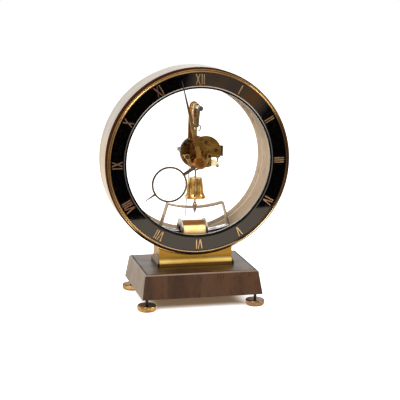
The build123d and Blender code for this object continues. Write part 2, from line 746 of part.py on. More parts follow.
def slotted_head(at, seat, turn):
    """Round screw head on the movement with a driver slot across it."""
    head = rod_y(at, SCREW_TOP_R, seat, seat - SCREW_TOP_H)
    mark = Pos(*at) * Rot(0, 0, turn) * Rectangle(2 * SCREW_TOP_R + RUNNING, SLOT_W)
    return head - slab(mark, seat - SCREW_TOP_H + SLOT_D, seat - SCREW_TOP_H)


def movement_screws():
    """Screws on the cock's lobes, the plate's pillars and right side, and in the cup's rim."""
    rim_head = extrude(rim_screw_plane(CUP_R + 0.3) * Circle(RIM_SCREW_R), amount=RIM_SCREW_H)
    out = rim_screw_shank() + rim_head
    lobes = ((-COCK_LOBE[0], COCK_LOBE[1]), COCK_LOBE)
    for at, turn in zip(lobes, SLOT_TURNS[:2]):
        out += slotted_head(at, COCK_FRONT, turn)
    for at, turn in zip((UPPER_PILLAR, LOWER_PILLAR, PLATE_SCREW_AT), SLOT_TURNS[2:]):
        out += slotted_head(at, PLATE_FRONT, turn)
    return out


def gear_outline(teeth, module, tooth_at):
    """Wheel outline of straight sided teeth, one of them centred on the angle given."""
    pitch_r = teeth * module / 2
    tip = pitch_r + 0.85 * module
    root = pitch_r - 1.15 * module
    step = 2 * pi / teeth
    points = []
    for i in range(teeth):
        middle = radians(tooth_at) + i * step
        for radius, offset in ((root, -0.25), (tip, -0.1), (tip, 0.1), (root, 0.25)):
            angle = middle + offset * step
            points.append((radius * cos(angle), radius * sin(angle)))
    return make_face(Polyline(*points, close=True).edges())


def ratchet_outline():
    """Saw tooth outline: each tooth has a radial face and a long slope."""
    step = 2 * pi / RATCHET_TEETH
    points = []
    for i in range(RATCHET_TEETH):
        angle = i * step
        points.append((RATCHET_R * cos(angle), RATCHET_R * sin(angle)))
        low = RATCHET_R - RATCHET_DEPTH
        points.append((low * cos(angle + 0.06 * step), low * sin(angle + 0.06 * step)))
    return make_face(Polyline(*points, close=True).edges())


def crossings(outer, inner, arms, bar):
    """Openings between the arms of a wheel."""
    ring = Circle(outer) - Circle(inner)
    for i in range(arms):
        ring -= Rot(0, 0, i * 360 / arms) * (Pos(outer / 2, 0) * Rectangle(outer, bar))
    return ring


def centre_wheel():
    """Great wheel of the train on the long centre arbor."""
    outline = gear_outline(CENTRE_TEETH, CENTRE_MODULE, THIRD_ANGLE)
    outline -= crossings(0.78 * THIRD_DIST, 2.6, 4, 1.2)
    wheel = slab(outline, WHEEL_BACK_Y, WHEEL_BACK_Y - WHEEL_T)
    return wheel + rod_y((0, 0), ARBOR_R, CUP_BACK, CANNON_END + HAND_NUT_T)


def third_wheel():
    """Second wheel with its pinion in mesh with the centre wheel."""
    to_centre = THIRD_ANGLE + 180
    pinion = gear_outline(THIRD_PINION, CENTRE_MODULE, to_centre + 180 / THIRD_PINION)
    wheel = gear_outline(THIRD_TEETH, THIRD_MODULE, RATCHET_ANGLE)
    wheel -= crossings(0.72 * RATCHET_DIST, 1.7, 4, 1.0)
    out = slab(Pos(*THIRD_AT) * pinion, WHEEL_BACK_Y + 0.2, THIRD_Y - WHEEL_T)
    out += slab(Pos(*THIRD_AT) * wheel, THIRD_Y, THIRD_Y - WHEEL_T)
    return out + rod_y(THIRD_AT, THIN_ARBOR_R, CUP_BACK, BRIDGE_Y - BRIDGE_T)


def ratchet_wheel():
    """Wheel that the pendulum moves on, with its pinion in mesh with the third wheel."""
    to_third = RATCHET_ANGLE + 180
    pinion = gear_outline(RATCHET_PINION, THIRD_MODULE, to_third + 180 / RATCHET_PINION)
    wheel = ratchet_outline() - crossings(0.78 * RATCHET_R, 2.0, 5, 1.1)
    out = slab(Pos(*RATCHET_AT) * pinion, THIRD_Y + 0.2, RATCHET_Y - WHEEL_T)
    out += slab(Pos(*RATCHET_AT) * wheel, RATCHET_Y, RATCHET_Y - WHEEL_T)
    return out + rod_y(RATCHET_AT, THIN_ARBOR_R, CUP_BACK, BRIDGE_Y - BRIDGE_T)


def train_bridge():
    """Thin bridge on two posts that bears the front pivots of the train."""
    outline = link(BRIDGE_LEFT, RATCHET_AT, 2 * BRIDGE_R)
    outline += link(BRIDGE_LEFT, THIRD_AT, 2 * BRIDGE_R)
    outline += link(THIRD_AT, (0, 0), 2 * BRIDGE_R)
    outline += link((0, 0), BRIDGE_RIGHT, 2 * BRIDGE_R)
    outline -= Circle(ARBOR_R + RUNNING)
    for at in (THIRD_AT, RATCHET_AT):
        outline -= Pos(*at) * Circle(THIN_ARBOR_R + RUNNING)
    bridge = slab(outline, BRIDGE_Y, BRIDGE_Y - BRIDGE_T)
    for at in (BRIDGE_LEFT, BRIDGE_RIGHT):
        bridge += rod_y(at, BRIDGE_POST_R, CUP_FLOOR_Y, BRIDGE_Y)
    return bridge


def click():
    """Small click on its post, its nose beside the ratchet teeth."""
    reach = atan2(CLICK_AT[1] - RATCHET_AT[1], CLICK_AT[0] - RATCHET_AT[0])
    nose_r = 0.35
    nose = polar(RATCHET_AT, RATCHET_R + CLICK_GAP + nose_r, degrees(reach) - 8)
    arm = link(CLICK_AT, nose, 2 * nose_r) + Pos(*CLICK_AT) * Circle(1.3)
    return slab(arm, RATCHET_Y, RATCHET_Y - WHEEL_T) + rod_y(CLICK_AT, CLICK_POST_R, CUP_BACK, RATCHET_Y)


def cannon_pinion():
    """Pinion and long pipe that carry the minute hand."""
    pinion = gear_outline(CANNON_TEETH, MINUTE_MODULE, 90)
    out = slab(pinion, CANNON_Y, CANNON_Y - MOTION_T)
    out += rod_y((0, 0), CANNON_R, CANNON_Y, CANNON_END)
    return out - rod_y((0, 0), ARBOR_R + RUNNING, CANNON_Y, CANNON_END + HAND_NUT_T - RUNNING)


def minute_wheel():
    """Wheel and pinion between the cannon pinion and the hour wheel."""
    wheel = gear_outline(MINUTE_TEETH, MINUTE_MODULE, -90 + 180 / MINUTE_TEETH)
    wheel -= crossings(0.6 * MOTION_DIST, 3.0, 4, 1.4)
    pinion = gear_outline(MINUTE_PINION, HOUR_MODULE, -90)
    out = slab(Pos(*MINUTE_AT) * wheel, CANNON_Y, CANNON_Y - MOTION_T)
    out += slab(Pos(*MINUTE_AT) * pinion, CANNON_Y - MOTION_T, HOUR_WHEEL_Y - MOTION_T)
    return out - rod_y(MINUTE_AT, MINUTE_STUD_R + RUNNING, CANNON_Y, HOUR_WHEEL_Y - MOTION_T)


def hour_wheel():
    """Hour wheel and pipe that turn round the cannon pipe."""
    wheel = gear_outline(HOUR_TEETH, HOUR_MODULE, 90 + 180 / HOUR_TEETH)
    wheel -= crossings(0.62 * MOTION_DIST, HOUR_HUB_R, 4, 1.4)
    out = slab(wheel, HOUR_WHEEL_Y, HOUR_WHEEL_Y - MOTION_T)
    out += rod_y((0, 0), HOUR_PIPE_R, HOUR_WHEEL_Y, HOUR_PIPE_END)
    return out - rod_y((0, 0), CANNON_R + PIPE_GAP, HOUR_WHEEL_Y, HOUR_PIPE_END)


def hour_hand():
    """Hour hand: tapered arm, a thin ring and a pointed tip, on a thick boss."""
    ring = Pos(HOUR_RING_AT, 0) * (Circle(HOUR_RING_R) - Circle(HOUR_RING_R - HOUR_RING_WALL))
    near = HOUR_RING_AT - HOUR_RING_R + HOUR_RING_WALL / 2
    far = HOUR_RING_AT + HOUR_RING_R - HOUR_RING_WALL / 2
    arm = Polyline((0, HOUR_ARM / 2), (near, HOUR_ARM * 0.44), (near, -HOUR_ARM * 0.44), (0, -HOUR_ARM / 2),
                   close=True)
    point = Polyline((far, HOUR_POINT / 2), (HOUR_REACH, 0.15), (HOUR_REACH, -0.15), (far, -HOUR_POINT / 2),
                     close=True)
    outline = ring + make_face(arm.edges()) + make_face(point.edges())
    hand = slab(Rot(0, 0, HOUR_ANGLE) * outline, HOUR_HAND_Y, HOUR_HAND_Y - HAND_T)
    boss_back = HOUR_HAND_Y - HAND_T / 2 + HOUR_BOSS_T / 2
    hand += rod_y((0, 0), HOUR_BOSS_R, boss_back, HOUR_PIPE_END)
    return hand - rod_y((0, 0), HOUR_PIPE_R, boss_back, HOUR_PIPE_END)


def hour_hand_glass():
    """Clear disc in the ring of the hour hand."""
    at = polar((0, 0), HOUR_RING_AT, HOUR_ANGLE)
    middle = HOUR_HAND_Y - HAND_T / 2
    radius = HOUR_RING_R - HOUR_RING_WALL
    return rod_y(at, radius, middle + HOUR_GLASS_T / 2, middle - HOUR_GLASS_T / 2)


def minute_hand():
    """Long minute hand that tapers evenly to its tip."""
    blade = Polyline((0, MINUTE_ROOT / 2), (MINUTE_REACH, MINUTE_TIP / 2), (MINUTE_REACH, -MINUTE_TIP / 2),
                     (0, -MINUTE_ROOT / 2), close=True)
    outline = Rot(0, 0, MINUTE_ANGLE) * make_face(blade.edges())
    hand = slab(outline, MINUTE_HAND_Y, MINUTE_HAND_Y - HAND_T)
    boss_back = MINUTE_HAND_Y - HAND_T / 2 + MINUTE_BOSS_T / 2
    hand += rod_y((0, 0), MINUTE_BOSS_R, boss_back, boss_back - MINUTE_BOSS_T)
    return hand - rod_y((0, 0), CANNON_R, boss_back, boss_back - MINUTE_BOSS_T)


def hand_nut():
    """Round nut on the end of the cannon pipe."""
    return tube_y((0, 0), HAND_NUT_R, CANNON_R, CANNON_END + HAND_NUT_T, CANNON_END)


def suspension_strap():
    """Tall strap behind the cup that ends in an open hook round the suspension post."""
    tip = HOOK_R - HOOK_WALL / 2
    foot_right = STRAP_LEFT + STRAP_FOOT_W
    points = [
        (STRAP_LEFT, STRAP_FOOT), (foot_right, STRAP_FOOT),
        (STRAP_LEFT + STRAP_LEAN + STRAP_TOP_W, PIVOT_H - HOOK_R), (-HOOK_R + HOOK_WALL, PIVOT_H),
        (-HOOK_R, PIVOT_H), (STRAP_LEFT + STRAP_LEAN / 2, PIVOT_H - HOOK_R),
    ]
    outline = make_face(Polyline(*points, close=True).edges())
    hook = Circle(HOOK_R) - Circle(HOOK_R - HOOK_WALL)
    opening = Pos(HOOK_R, -HOOK_R / 2) * Rectangle(2 * HOOK_R, HOOK_R + HOOK_WALL)
    outline += Pos(0, PIVOT_H) * (hook - opening)
    outline += Pos(tip * cos(radians(20)), PIVOT_H + tip * sin(radians(20))) * Circle(HOOK_WALL / 2)
    outline -= Pos(0, PIVOT_H) * Circle(HOOK_R - HOOK_WALL)
    return slab(outline, CUP_BACK + STRAP_T, CUP_BACK)


def suspension_post():
    """Post along Y that the pendulum hangs on, with a flange held by the hook."""
    at = (0, PIVOT_H)
    flange = rod_y(at, HOOK_R - HOOK_WALL, CUP_BACK + STRAP_T, CUP_BACK)
    return flange + rod_y(at, POST_R, CUP_BACK, POST_FRONT)


def post_cap():
    """Dark domed cap on the front end of the post."""
    cap = rod_y((0, PIVOT_H), POST_CAP_R, POST_FRONT, POST_FRONT - POST_CAP_T)
    front = cap.edges().filter_by(GeomType.CIRCLE).sort_by(Axis.Y)[0]
    return fillet(front, min(1.6, 0.6 * POST_CAP_T))


def pendulum_hanger():
    """Brass hanger with three sunk slots that swings on the post."""
    points = [(-2.6, PIVOT_H), (2.6, PIVOT_H), (HANGER_W / 2, HANGER_TOP),
              (HANGER_FOOT_W / 2, HANGER_FOOT), (-HANGER_FOOT_W / 2, HANGER_FOOT), (-HANGER_W / 2, HANGER_TOP)]
    outline = make_face(Polyline(*points, close=True).edges())
    face = PEND_Y - HANGER_T / 2
    body = slab(outline, PEND_Y + HANGER_T / 2, face)
    for x, z in HANGER_SLOTS:
        slot = Pos(x, z) * Rot(0, 0, HANGER_SLOT_TURN) * SlotOverall(HANGER_SLOT_L, HANGER_SLOT_W)
        body -= slab(slot, face + HANGER_SLOT_D, face)
    body += rod_y((0, PIVOT_H), HANGER_EYE_R, PEND_Y + HANGER_EYE_W / 2, PEND_Y - HANGER_EYE_W / 2)
    return body - rod_y((0, PIVOT_H), POST_R + RUNNING, PEND_Y + HANGER_EYE_W, PEND_Y - HANGER_EYE_W)


def pendulum_stirrup():
    """Oblong frame that lets the pendulum swing round the centre arbor, with the pawl's arm."""
    outer_r = STIRRUP_W / 2
    inner_r = outer_r - STIRRUP_WALL
    length = STIRRUP_TOP - STIRRUP_FOOT
    middle = (STIRRUP_TOP + STIRRUP_FOOT) / 2
    outline = Rot(0, 0, 90) * SlotOverall(length, STIRRUP_W)
    outline -= Rot(0, 0, 90) * SlotOverall(length - 2 * STIRRUP_WALL, 2 * inner_r)
    outline = Pos(0, middle) * outline
    neck = (HANGER_FOOT + STIRRUP_TOP - STIRRUP_WALL) / 2
    outline += Pos(0, neck) * Rectangle(2 * ROD_R, HANGER_FOOT - STIRRUP_TOP + STIRRUP_WALL)
    outline += link((0, STIRRUP_TOP - 0.5), PAWL_AT, 2.2)
    body = slab(outline, PEND_Y + STIRRUP_T / 2, PEND_Y - STIRRUP_T / 2)
    return body + rod_y(PAWL_AT, PAWL_PIN_R, RATCHET_Y + 0.1, PEND_Y + STIRRUP_T / 2)


def pawl():
    """Gathering pawl that hangs from its pin with its nose over the ratchet wheel."""
    nose_r = 0.35
    nose = (RATCHET_AT[0], RATCHET_AT[1] + RATCHET_R + PAWL_GAP + nose_r)
    outline = link(PAWL_AT, nose, 2 * nose_r) + Pos(*PAWL_AT) * Circle(1.5)
    outline -= Pos(*PAWL_AT) * Circle(PAWL_PIN_R + RUNNING)
    return slab(outline, RATCHET_Y, RATCHET_Y - WHEEL_T)


def pendulum_rod():
    """Steel rod from the stirrup down to a pointed finial below the magnet frame."""
    top = DIAL_Z + PIVOT_H - ARC_R - STRIP_T / 2
    edges = [
        Line((0, top), (TIP_R * 0.75, top)),
        ThreePointArc((TIP_R * 0.75, top), (TIP_R, top - 0.3 * TIP_H), (TIP_R * 0.5, top - 0.6 * TIP_H)),
        Line((TIP_R * 0.5, top - 0.6 * TIP_H), (TIP_POINT_R, top - TIP_H)),
        Line((TIP_POINT_R, top - TIP_H), (0, top - TIP_H)),
        Line((0, top - TIP_H), (0, top)),
    ]
    return upright_turned(edges, 0, PEND_Y) + upright(0, PEND_Y, ROD_R, top, DIAL_Z + STIRRUP_FOOT)


def bell_bob():
    """Heavy brass bob in the shape of a fluted bell, bored for the rod."""
    z = DIAL_Z
    soft = 0.7
    edges = [
        Line((0, z + BELL_TOP), (BELL_TOP_R - soft, z + BELL_TOP)),
        ThreePointArc((BELL_TOP_R - soft, z + BELL_TOP), (BELL_TOP_R - 0.2, z + BELL_TOP - 0.2),
                      (BELL_TOP_R, z + BELL_TOP - soft)),
        Line((BELL_TOP_R, z + BELL_TOP - soft), (BELL_WAIST_R, z + BELL_WAIST)),
        ThreePointArc((BELL_WAIST_R, z + BELL_WAIST), (BELL_WAIST_R + 0.7, z + (BELL_WAIST + BELL_RIM) / 2),
                      (BELL_RIM_R, z + BELL_RIM)),
        Line((BELL_RIM_R, z + BELL_RIM), (BELL_RIM_R - 0.3, z + BELL_FOOT)),
        Line((BELL_RIM_R - 0.3, z + BELL_FOOT), (BELL_RIM_R - BELL_LIP_W, z + BELL_FOOT)),
        Line((BELL_RIM_R - BELL_LIP_W, z + BELL_FOOT), (BELL_RIM_R - BELL_DISH_EDGE, z + BELL_FOOT + BELL_DISH)),
        Line((BELL_RIM_R - BELL_DISH_EDGE, z + BELL_FOOT + BELL_DISH), (0, z + BELL_FOOT + BELL_DISH)),
        Line((0, z + BELL_FOOT + BELL_DISH), (0, z + BELL_TOP)),
    ]
    body = upright_turned(edges, 0, PEND_Y)
    rise = BELL_TOP - BELL_WAIST
    lean = degrees(atan2(BELL_WAIST_R - BELL_TOP_R, rise))
    middle_r = (BELL_TOP_R + BELL_WAIST_R) / 2 + FLUTE_R - FLUTE_DEPTH
    middle_z = z + (BELL_TOP + BELL_WAIST) / 2 - 2.0
    groove = Pos(middle_r, 0, middle_z) * Rot(0, -lean, 0) * Cylinder(FLUTE_R, rise + 1)
    for i in range(FLUTES):
        body -= Pos(0, PEND_Y, 0) * Rot(0, 0, (i + 0.5) * 360 / FLUTES) * groove
    return body - upright(0, PEND_Y, ROD_R, z + BELL_FOOT, z + BELL_TOP)


def rating_nut():
    """Bead shaped nut below the bob."""
    low = DIAL_Z + NUT_LOW
    top = low + NUT_H
    edges = [
        Line((0, low), (NUT_R * 0.8, low)),
        ThreePointArc((NUT_R * 0.8, low), (NUT_R, low + NUT_H * 0.35), (NUT_R * 0.55, top)),
        Line((NUT_R * 0.55, top), (0, top)),
        Line((0, top), (0, low)),
    ]
    return upright_turned(edges, 0, PEND_Y) - upright(0, PEND_Y, ROD_R + RUNNING, low, top)


def magnet_frame():
    """Bent strip of an arc and two radial sides, clamped on the rod and carrying the magnet."""
    outer = ARC_R + STRIP_T / 2
    inner = ARC_R - STRIP_T / 2
    reach = MAGNET_ARC_R - MAGNET_R + STRIP_LAP
    wedge = Polyline((0, 0), polar((0, 0), 2 * ARC_R, -90 - ARC_HALF),
                     polar((0, 0), 2 * ARC_R, -90 + ARC_HALF), close=True)
    outline = (Circle(outer) - Circle(inner)) & make_face(wedge.edges())
    for side in (-1, 1):
        length = reach - inner
        middle = polar((0, 0), inner + length / 2, -90 + side * ARC_HALF)
        outline += Pos(*middle) * Rot(0, 0, -90 + side * ARC_HALF) * Rectangle(length, STRIP_T)
    body = slab(Pos(0, PIVOT_H) * outline, PEND_Y + STRIP_W / 2, PEND_Y - STRIP_W / 2)
    boss_top = DIAL_Z + PIVOT_H - inner + ARC_BOSS_RISE
    body += upright(0, PEND_Y, ARC_BOSS_R, DIAL_Z + PIVOT_H - outer, boss_top)
    body -= magnet_bar()
    return body - upright(0, PEND_Y, ROD_R, DIAL_Z + PIVOT_H - outer, boss_top)


def magnet_bar():
    """Round bar magnet bent to the pendulum's swing."""
    angle = radians(ARC_HALF + 0.6)
    z_mid = PIVOT_Z - MAGNET_ARC_R
    x_end = MAGNET_ARC_R * sin(angle)
    z_end = PIVOT_Z - MAGNET_ARC_R * cos(angle)
    path = ThreePointArc((-x_end, PEND_Y, z_end), (0, PEND_Y, z_mid), (x_end, PEND_Y, z_end))
    return sweep(Plane(origin=path @ 0, z_dir=path % 0) * Circle(MAGNET_R), path=path)


def contact_hook():
    """Bent steel wire on the face of the hanger's foot that works the contact."""
    y = PEND_Y - HANGER_T / 2 - HOOK_WIRE_R
    start = (HOOK_WIRE_X, y, DIAL_Z + HANGER_FOOT + HOOK_BEND_R)
    low = start[2] - 2.2 * HOOK_BEND_R
    first = ThreePointArc(start, (start[0] + 0.7 * HOOK_BEND_R, y, start[2] - 0.35 * HOOK_BEND_R),
                          (start[0] + HOOK_BEND_R, y, start[2] - 1.1 * HOOK_BEND_R))
    second = TangentArc(first @ 1, (start[0] + 0.2 * HOOK_BEND_R, y, low), tangent=first % 1)
    path = Wire([first.edge(), second.edge()])
    return sweep(Plane(origin=path @ 0, z_dir=path % 0) * Circle(HOOK_WIRE_R), path=path)


COIL_Z = DIAL_Z + COIL_H
WINDING_R = BARREL_R + WINDING_LIFT + WIRE_R
WIND_FROM = COIL_X - COIL_L / 2 + FLANGE_T + TAG / 2
WIND_TO = COIL_X + COIL_L / 2 - FLANGE_T - TAG / 2


def rod_x(radius, low, high):
    """A round bar along X on the coil's axis."""
    place = Pos((low + high) / 2, PEND_Y, COIL_Z) * Rot(0, 90, 0)
    return place * Cylinder(radius, high - low)


def coil_bobbin():
    """Bobbin with two round flanges, a bore for the magnet and two wire tags."""
    low = COIL_X - COIL_L / 2
    high = COIL_X + COIL_L / 2
    body = rod_x(BARREL_R, low, high)
    body += rod_x(FLANGE_R, low, low + FLANGE_T) + rod_x(FLANGE_R, high - FLANGE_T, high)
    body -= rod_x(COIL_BORE_R, low, high)
    tag_y = PEND_Y + WINDING_R
    tag_z = 2 * WIRE_R
    body += block(low + FLANGE_T + TAG / 2, tag_y, COIL_Z + tag_z, TAG, TAG, TAG)
    body += block(high - FLANGE_T - TAG / 2, tag_y, COIL_Z - tag_z - TAG, TAG, TAG, TAG)
    return body


def biarc(start, start_way, end, end_way):
    """Two tangent arcs between two points with given directions."""
    gap = end - start
    both = start_way + end_way
    turn = 2 * (1 - start_way.dot(end_way))
    along = gap.dot(both)
    reach = (sqrt(along ** 2 + turn * gap.dot(gap)) - along) / turn
    middle = (start + end + (start_way - end_way) * reach) / 2
    middle_way = (end - end_way * reach) - (start + start_way * reach)
    first = TangentArc(start, middle, tangent=start_way)
    second = TangentArc(middle, end, tangent=middle_way)
    return [first.edge(), second.edge()]


def winding_path():
    """One unbroken line: straight ends at the back and turns that advance along the coil."""
    pitch = (WIND_TO - WIND_FROM) / TURNS
    down = Vector(0, 0, -1)
    edges = []
    previous = None
    for i in range(2 * TURNS + 1):
        angle = -pi * i
        at = Vector(WIND_FROM + pitch * i / 2, PEND_Y + WINDING_R * cos(angle), COIL_Z + WINDING_R * sin(angle))
        way = Vector(pitch, 2 * pi * WINDING_R * sin(angle), -2 * pi * WINDING_R * cos(angle)).normalized()
        if i in (0, 2 * TURNS):
            way = down
        if previous is not None:
            edges += biarc(previous[0], previous[1], at, way)
        previous = (at, way)
    start = Vector(WIND_FROM, PEND_Y + WINDING_R, COIL_Z)
    lead_in = Line(start - down * 2 * WIRE_R, start)
    lead_out = Line(previous[0], previous[0] + down * 2 * WIRE_R)
    return Wire([lead_in.edge()] + edges + [lead_out.edge()])


def winding_gap(path):
    """Least gap between turns, measured on points a full turn apart."""
    steps = 24 * TURNS
    points = [path @ (i / steps) for i in range(steps + 1)]
    least = min((points[i] - points[j]).length for i in range(len(points))
                for j in range(i + 16, min(i + 33, len(points))))
    return least - 2 * WIRE_R


def coil_winding():
    """Outer layer of the winding as one tube."""
    path = winding_path()
    print("winding: turns", TURNS, "least gap %.2f mm" % winding_gap(path))
    return sweep(Plane(origin=path @ 0, z_dir=path % 0) * Circle(WIRE_R), path=path)


def coil_stand():
    """Thin seat on the hoop's floor, flat above and curved below, under both flanges."""
    top = COIL_Z - FLANGE_R
    floor = DIAL_Z - HOOP_IN_R
    seat = block(COIL_X, PEND_Y, floor, COIL_L + 2 * STAND_OVER, STAND_W, top - floor)
    return seat & rod_y((0, 0), HOOP_IN_R, BACK_Y, FRONT_Y)


def feed_bush():
    """Insulating bush in the hoop's floor that the feed rod stands in."""
    floor = DIAL_Z - sqrt(HOOP_IN_R ** 2 - FEED_FOOT_X ** 2)
    bush = upright(FEED_FOOT_X, FEED_Y, LEAD_HOLE_R, floor - FEED_BUSH_L, floor + FEED_BUSH_H)
    bush += upright(FEED_FOOT_X, FEED_Y, FEED_BUSH_R, floor + 0.6, floor + FEED_BUSH_H)
    return bush - feed_rod()


def feed_rod():
    """Straight stiff wire that feeds the movement from the base."""
    foot = Vector(FEED_FOOT_X, FEED_Y, DIAL_Z - HOOP_IN_R)
    top = Vector(FEED_TOP[0], FEED_Y, DIAL_Z + FEED_TOP[1])
    return Plane(origin=foot, z_dir=top - foot) * Cylinder(
        FEED_R, (top - foot).length, align=(Align.CENTER, Align.CENTER, Align.MIN))


def contact_block():
    """Black block on the right edge of the front plate."""
    low = DIAL_Z + BLOCK_AT[1] - BLOCK_H / 2
    return block(BLOCK_AT[0], PLATE_Y + BLOCK_D / 2, low, BLOCK_W, BLOCK_D, BLOCK_H)


def terminal_arm():
    """Pale insulating arm behind the notch of the front plate."""
    left = ARM_AT[0] - ARM_L / 2
    arm = block(ARM_AT[0], BALL_Y, DIAL_Z + ARM_AT[1] - ARM_H / 2, ARM_L, ARM_D, ARM_H)
    ear_l = BALL_X + 1.2 - left
    arm += block(left + ear_l / 2, BALL_Y, DIAL_Z + ARM_AT[1] - 1.3, ear_l, ARM_D, 2.6)
    return arm - upright(BALL_X, BALL_Y, BALL_POST_R, DIAL_Z + BALL_LOW, DIAL_Z + BALL_HIGH)


def terminal_posts():
    """Thin post with a round nut at each end, and the binding post behind the cup."""
    post = upright(BALL_X, BALL_Y, BALL_POST_R, DIAL_Z + BALL_LOW, DIAL_Z + BALL_HIGH)
    for height in (BALL_LOW, BALL_HIGH):
        post += Pos(BALL_X, BALL_Y, DIAL_Z + height) * Sphere(BALL_R)
    binding = rod_y(FEED_TOP, FEED_POST_R, FEED_Y + FEED_POST_OVER, CUP_BACK)
    return post + (binding - feed_rod())


def build():
    nodes = {
        "base_body": base_body(), "base_cover": base_cover(), "case_screws": case_screws(),
        "foot_bushes": foot_bushes(), "battery_tray": battery_tray(), "battery": battery(),
        "battery_contacts": battery_contacts(), "saddle": saddle(), "hoop": hoop(), "bezel": bezel(),
        "chapter_ring": chapter_ring(), "rear_ring": rear_ring(), "rear_glass": rear_glass(),
        "glass_retainer": glass_retainer(), "carrier_studs": carrier_studs(),
        "movement_cup": movement_cup(), "front_plate": front_plate(),
        "movement_pillars": movement_pillars(), "front_cock": front_cock(),
        "movement_screws": movement_screws(), "train_bridge": train_bridge(), "click": click(),
        "suspension_strap": suspension_strap(), "suspension_post": suspension_post(),
        "post_cap": post_cap(), "coil_bobbin": coil_bobbin(), "coil_winding": coil_winding(),
        "coil_stand": coil_stand(), "feed_bush": feed_bush(), "feed_rod": feed_rod(),
        "contact_block": contact_block(), "terminal_arm": terminal_arm(),
        "terminal_posts": terminal_posts(), "centre_wheel": centre_wheel(),
        "third_wheel": third_wheel(), "ratchet_wheel": ratchet_wheel(),
        "cannon_pinion": cannon_pinion(), "minute_wheel": minute_wheel(), "hour_wheel": hour_wheel(),
        "minute_hand": minute_hand(), "hand_nut": hand_nut(), "hour_hand": hour_hand(),
        "hour_hand_glass": hour_hand_glass(), "pendulum_hanger": pendulum_hanger(),
        "pendulum_stirrup": pendulum_stirrup(), "pawl": pawl(), "pendulum_rod": pendulum_rod(),
        "bell_bob": bell_bob(), "rating_nut": rating_nut(), "magnet_frame": magnet_frame(),
        "magnet_bar": magnet_bar(), "contact_hook": contact_hook(),
    }
    for name, at in foot_places().items():
        nodes["foot_disc_" + name] = foot_disc(at)
        nodes["foot_stud_" + name] = foot_stud(at)
    return nodes


if __name__ == "__main__":
    os.makedirs("parts", exist_ok=True)
    for node, shape in build().items():
        export_step(shape, os.path.join("parts", node + ".step"))
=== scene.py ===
# %% [markdown]
# # A pendulum table clock, dressed over its solid model
# The clock is a deep wooden hoop on a brass saddle and a walnut base. A black glass ring with
# gold numerals closes the front, and the brass movement stands free in the opening on a clear
# glass disc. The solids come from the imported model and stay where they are. This file gives them
# their finishes, adds the gold numerals, turns the bezel and winds the coil in finer steps, and
# sets the light, the table and the camera.

# %% Load the solid model
import json
import math

import bpy
import numpy as np
from mathutils import Matrix, Vector


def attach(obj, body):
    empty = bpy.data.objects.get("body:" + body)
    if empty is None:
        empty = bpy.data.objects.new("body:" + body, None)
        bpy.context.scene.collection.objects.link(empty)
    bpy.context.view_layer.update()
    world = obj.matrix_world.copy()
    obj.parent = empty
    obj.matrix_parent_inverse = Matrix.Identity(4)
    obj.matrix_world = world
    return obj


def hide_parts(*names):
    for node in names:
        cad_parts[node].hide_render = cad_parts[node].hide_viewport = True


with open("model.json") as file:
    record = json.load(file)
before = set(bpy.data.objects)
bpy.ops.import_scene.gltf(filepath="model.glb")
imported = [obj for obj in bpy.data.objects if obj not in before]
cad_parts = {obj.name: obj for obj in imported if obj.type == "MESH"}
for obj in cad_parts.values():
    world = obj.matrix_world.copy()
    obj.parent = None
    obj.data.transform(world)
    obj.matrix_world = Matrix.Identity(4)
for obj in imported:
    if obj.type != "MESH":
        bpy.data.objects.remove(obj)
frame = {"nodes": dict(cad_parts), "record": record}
solids = frame["nodes"]
scene = bpy.context.scene


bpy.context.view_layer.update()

# %% [markdown]
# ## Camera
# The picture was taken from a little left of the dial and a little above it, from about 1.3 m.
# A long lens keeps the hoop nearly round. The camera is turned by three directions: one that
# points back at the lens, one to the right and one up, rolled by one degree.

# %% Camera
VIEW_SIDE = math.radians(-14.452)
VIEW_UP = math.radians(11.400)
VIEW_ROLL = math.radians(1.031)
VIEW_FROM = 1.27981
VIEW_AT = Vector((0.007615, 0.0, 0.113564))
FOCAL_MM, SENSOR_MM = 101.26, 36.0

back = Vector((math.sin(VIEW_SIDE) * math.cos(VIEW_UP), -math.cos(VIEW_SIDE) * math.cos(VIEW_UP),
               math.sin(VIEW_UP)))
right = (-back).cross(Vector((0, 0, 1))).normalized()
up = right.cross(-back)
right, up = (right * math.cos(VIEW_ROLL) + up * math.sin(VIEW_ROLL),
             up * math.cos(VIEW_ROLL) - right * math.sin(VIEW_ROLL))
lens = bpy.data.cameras.new("view_camera")
lens.sensor_width = SENSOR_MM
lens.lens = FOCAL_MM
lens.clip_start = 0.05
camera = bpy.data.objects.new("view_camera", lens)
turn = Matrix((right, up, back)).transposed()
camera.matrix_world = Matrix.Translation(VIEW_AT + back * VIEW_FROM) @ turn.to_4x4()
scene.collection.objects.link(camera)
scene.camera = camera
scene.view_settings.view_transform = "Standard"
print("camera at", tuple(round(v, 3) for v in camera.location))

# %% [markdown]
# ## Wiring helpers
# A finish is a small network of nodes. These helpers add a node, set its plain values and wire
# its inputs, so that each finish below reads as a list of what it is made of. A value may be a
# number, a colour or the output of another node.

# %% Wiring helpers
def feed(tree, socket, value):
    """Wire another node's output into a socket, or set the socket's own value."""
    if isinstance(value, bpy.types.NodeSocket):
        tree.links.new(value, socket)
    else:
        socket.default_value = value


def node(tree, kind, inputs=None, **settings):
    """A node of a kind, with its settings and its inputs, each a value or another node's output."""
    made = tree.nodes.new(kind)
    for name, value in settings.items():
        setattr(made, name, value)
    for name, value in (inputs or {}).items():
        feed(tree, made.inputs[name], value)
    return made


def maths(tree, operation, a, b=0.0, c=0.0, clamp=False):
    """The result of one operation on up to three numbers."""
    return node(tree, "ShaderNodeMath", {0: a, 1: b, 2: c}, operation=operation, use_clamp=clamp).outputs[0]


def times(tree, a, b):
    """The product of two numbers, which for two masks is full where both are."""
    return maths(tree, "MULTIPLY", a, b)


def invert(tree, mask):
    """A mask that is full where another is empty."""
    return maths(tree, "SUBTRACT", 1.0, mask)


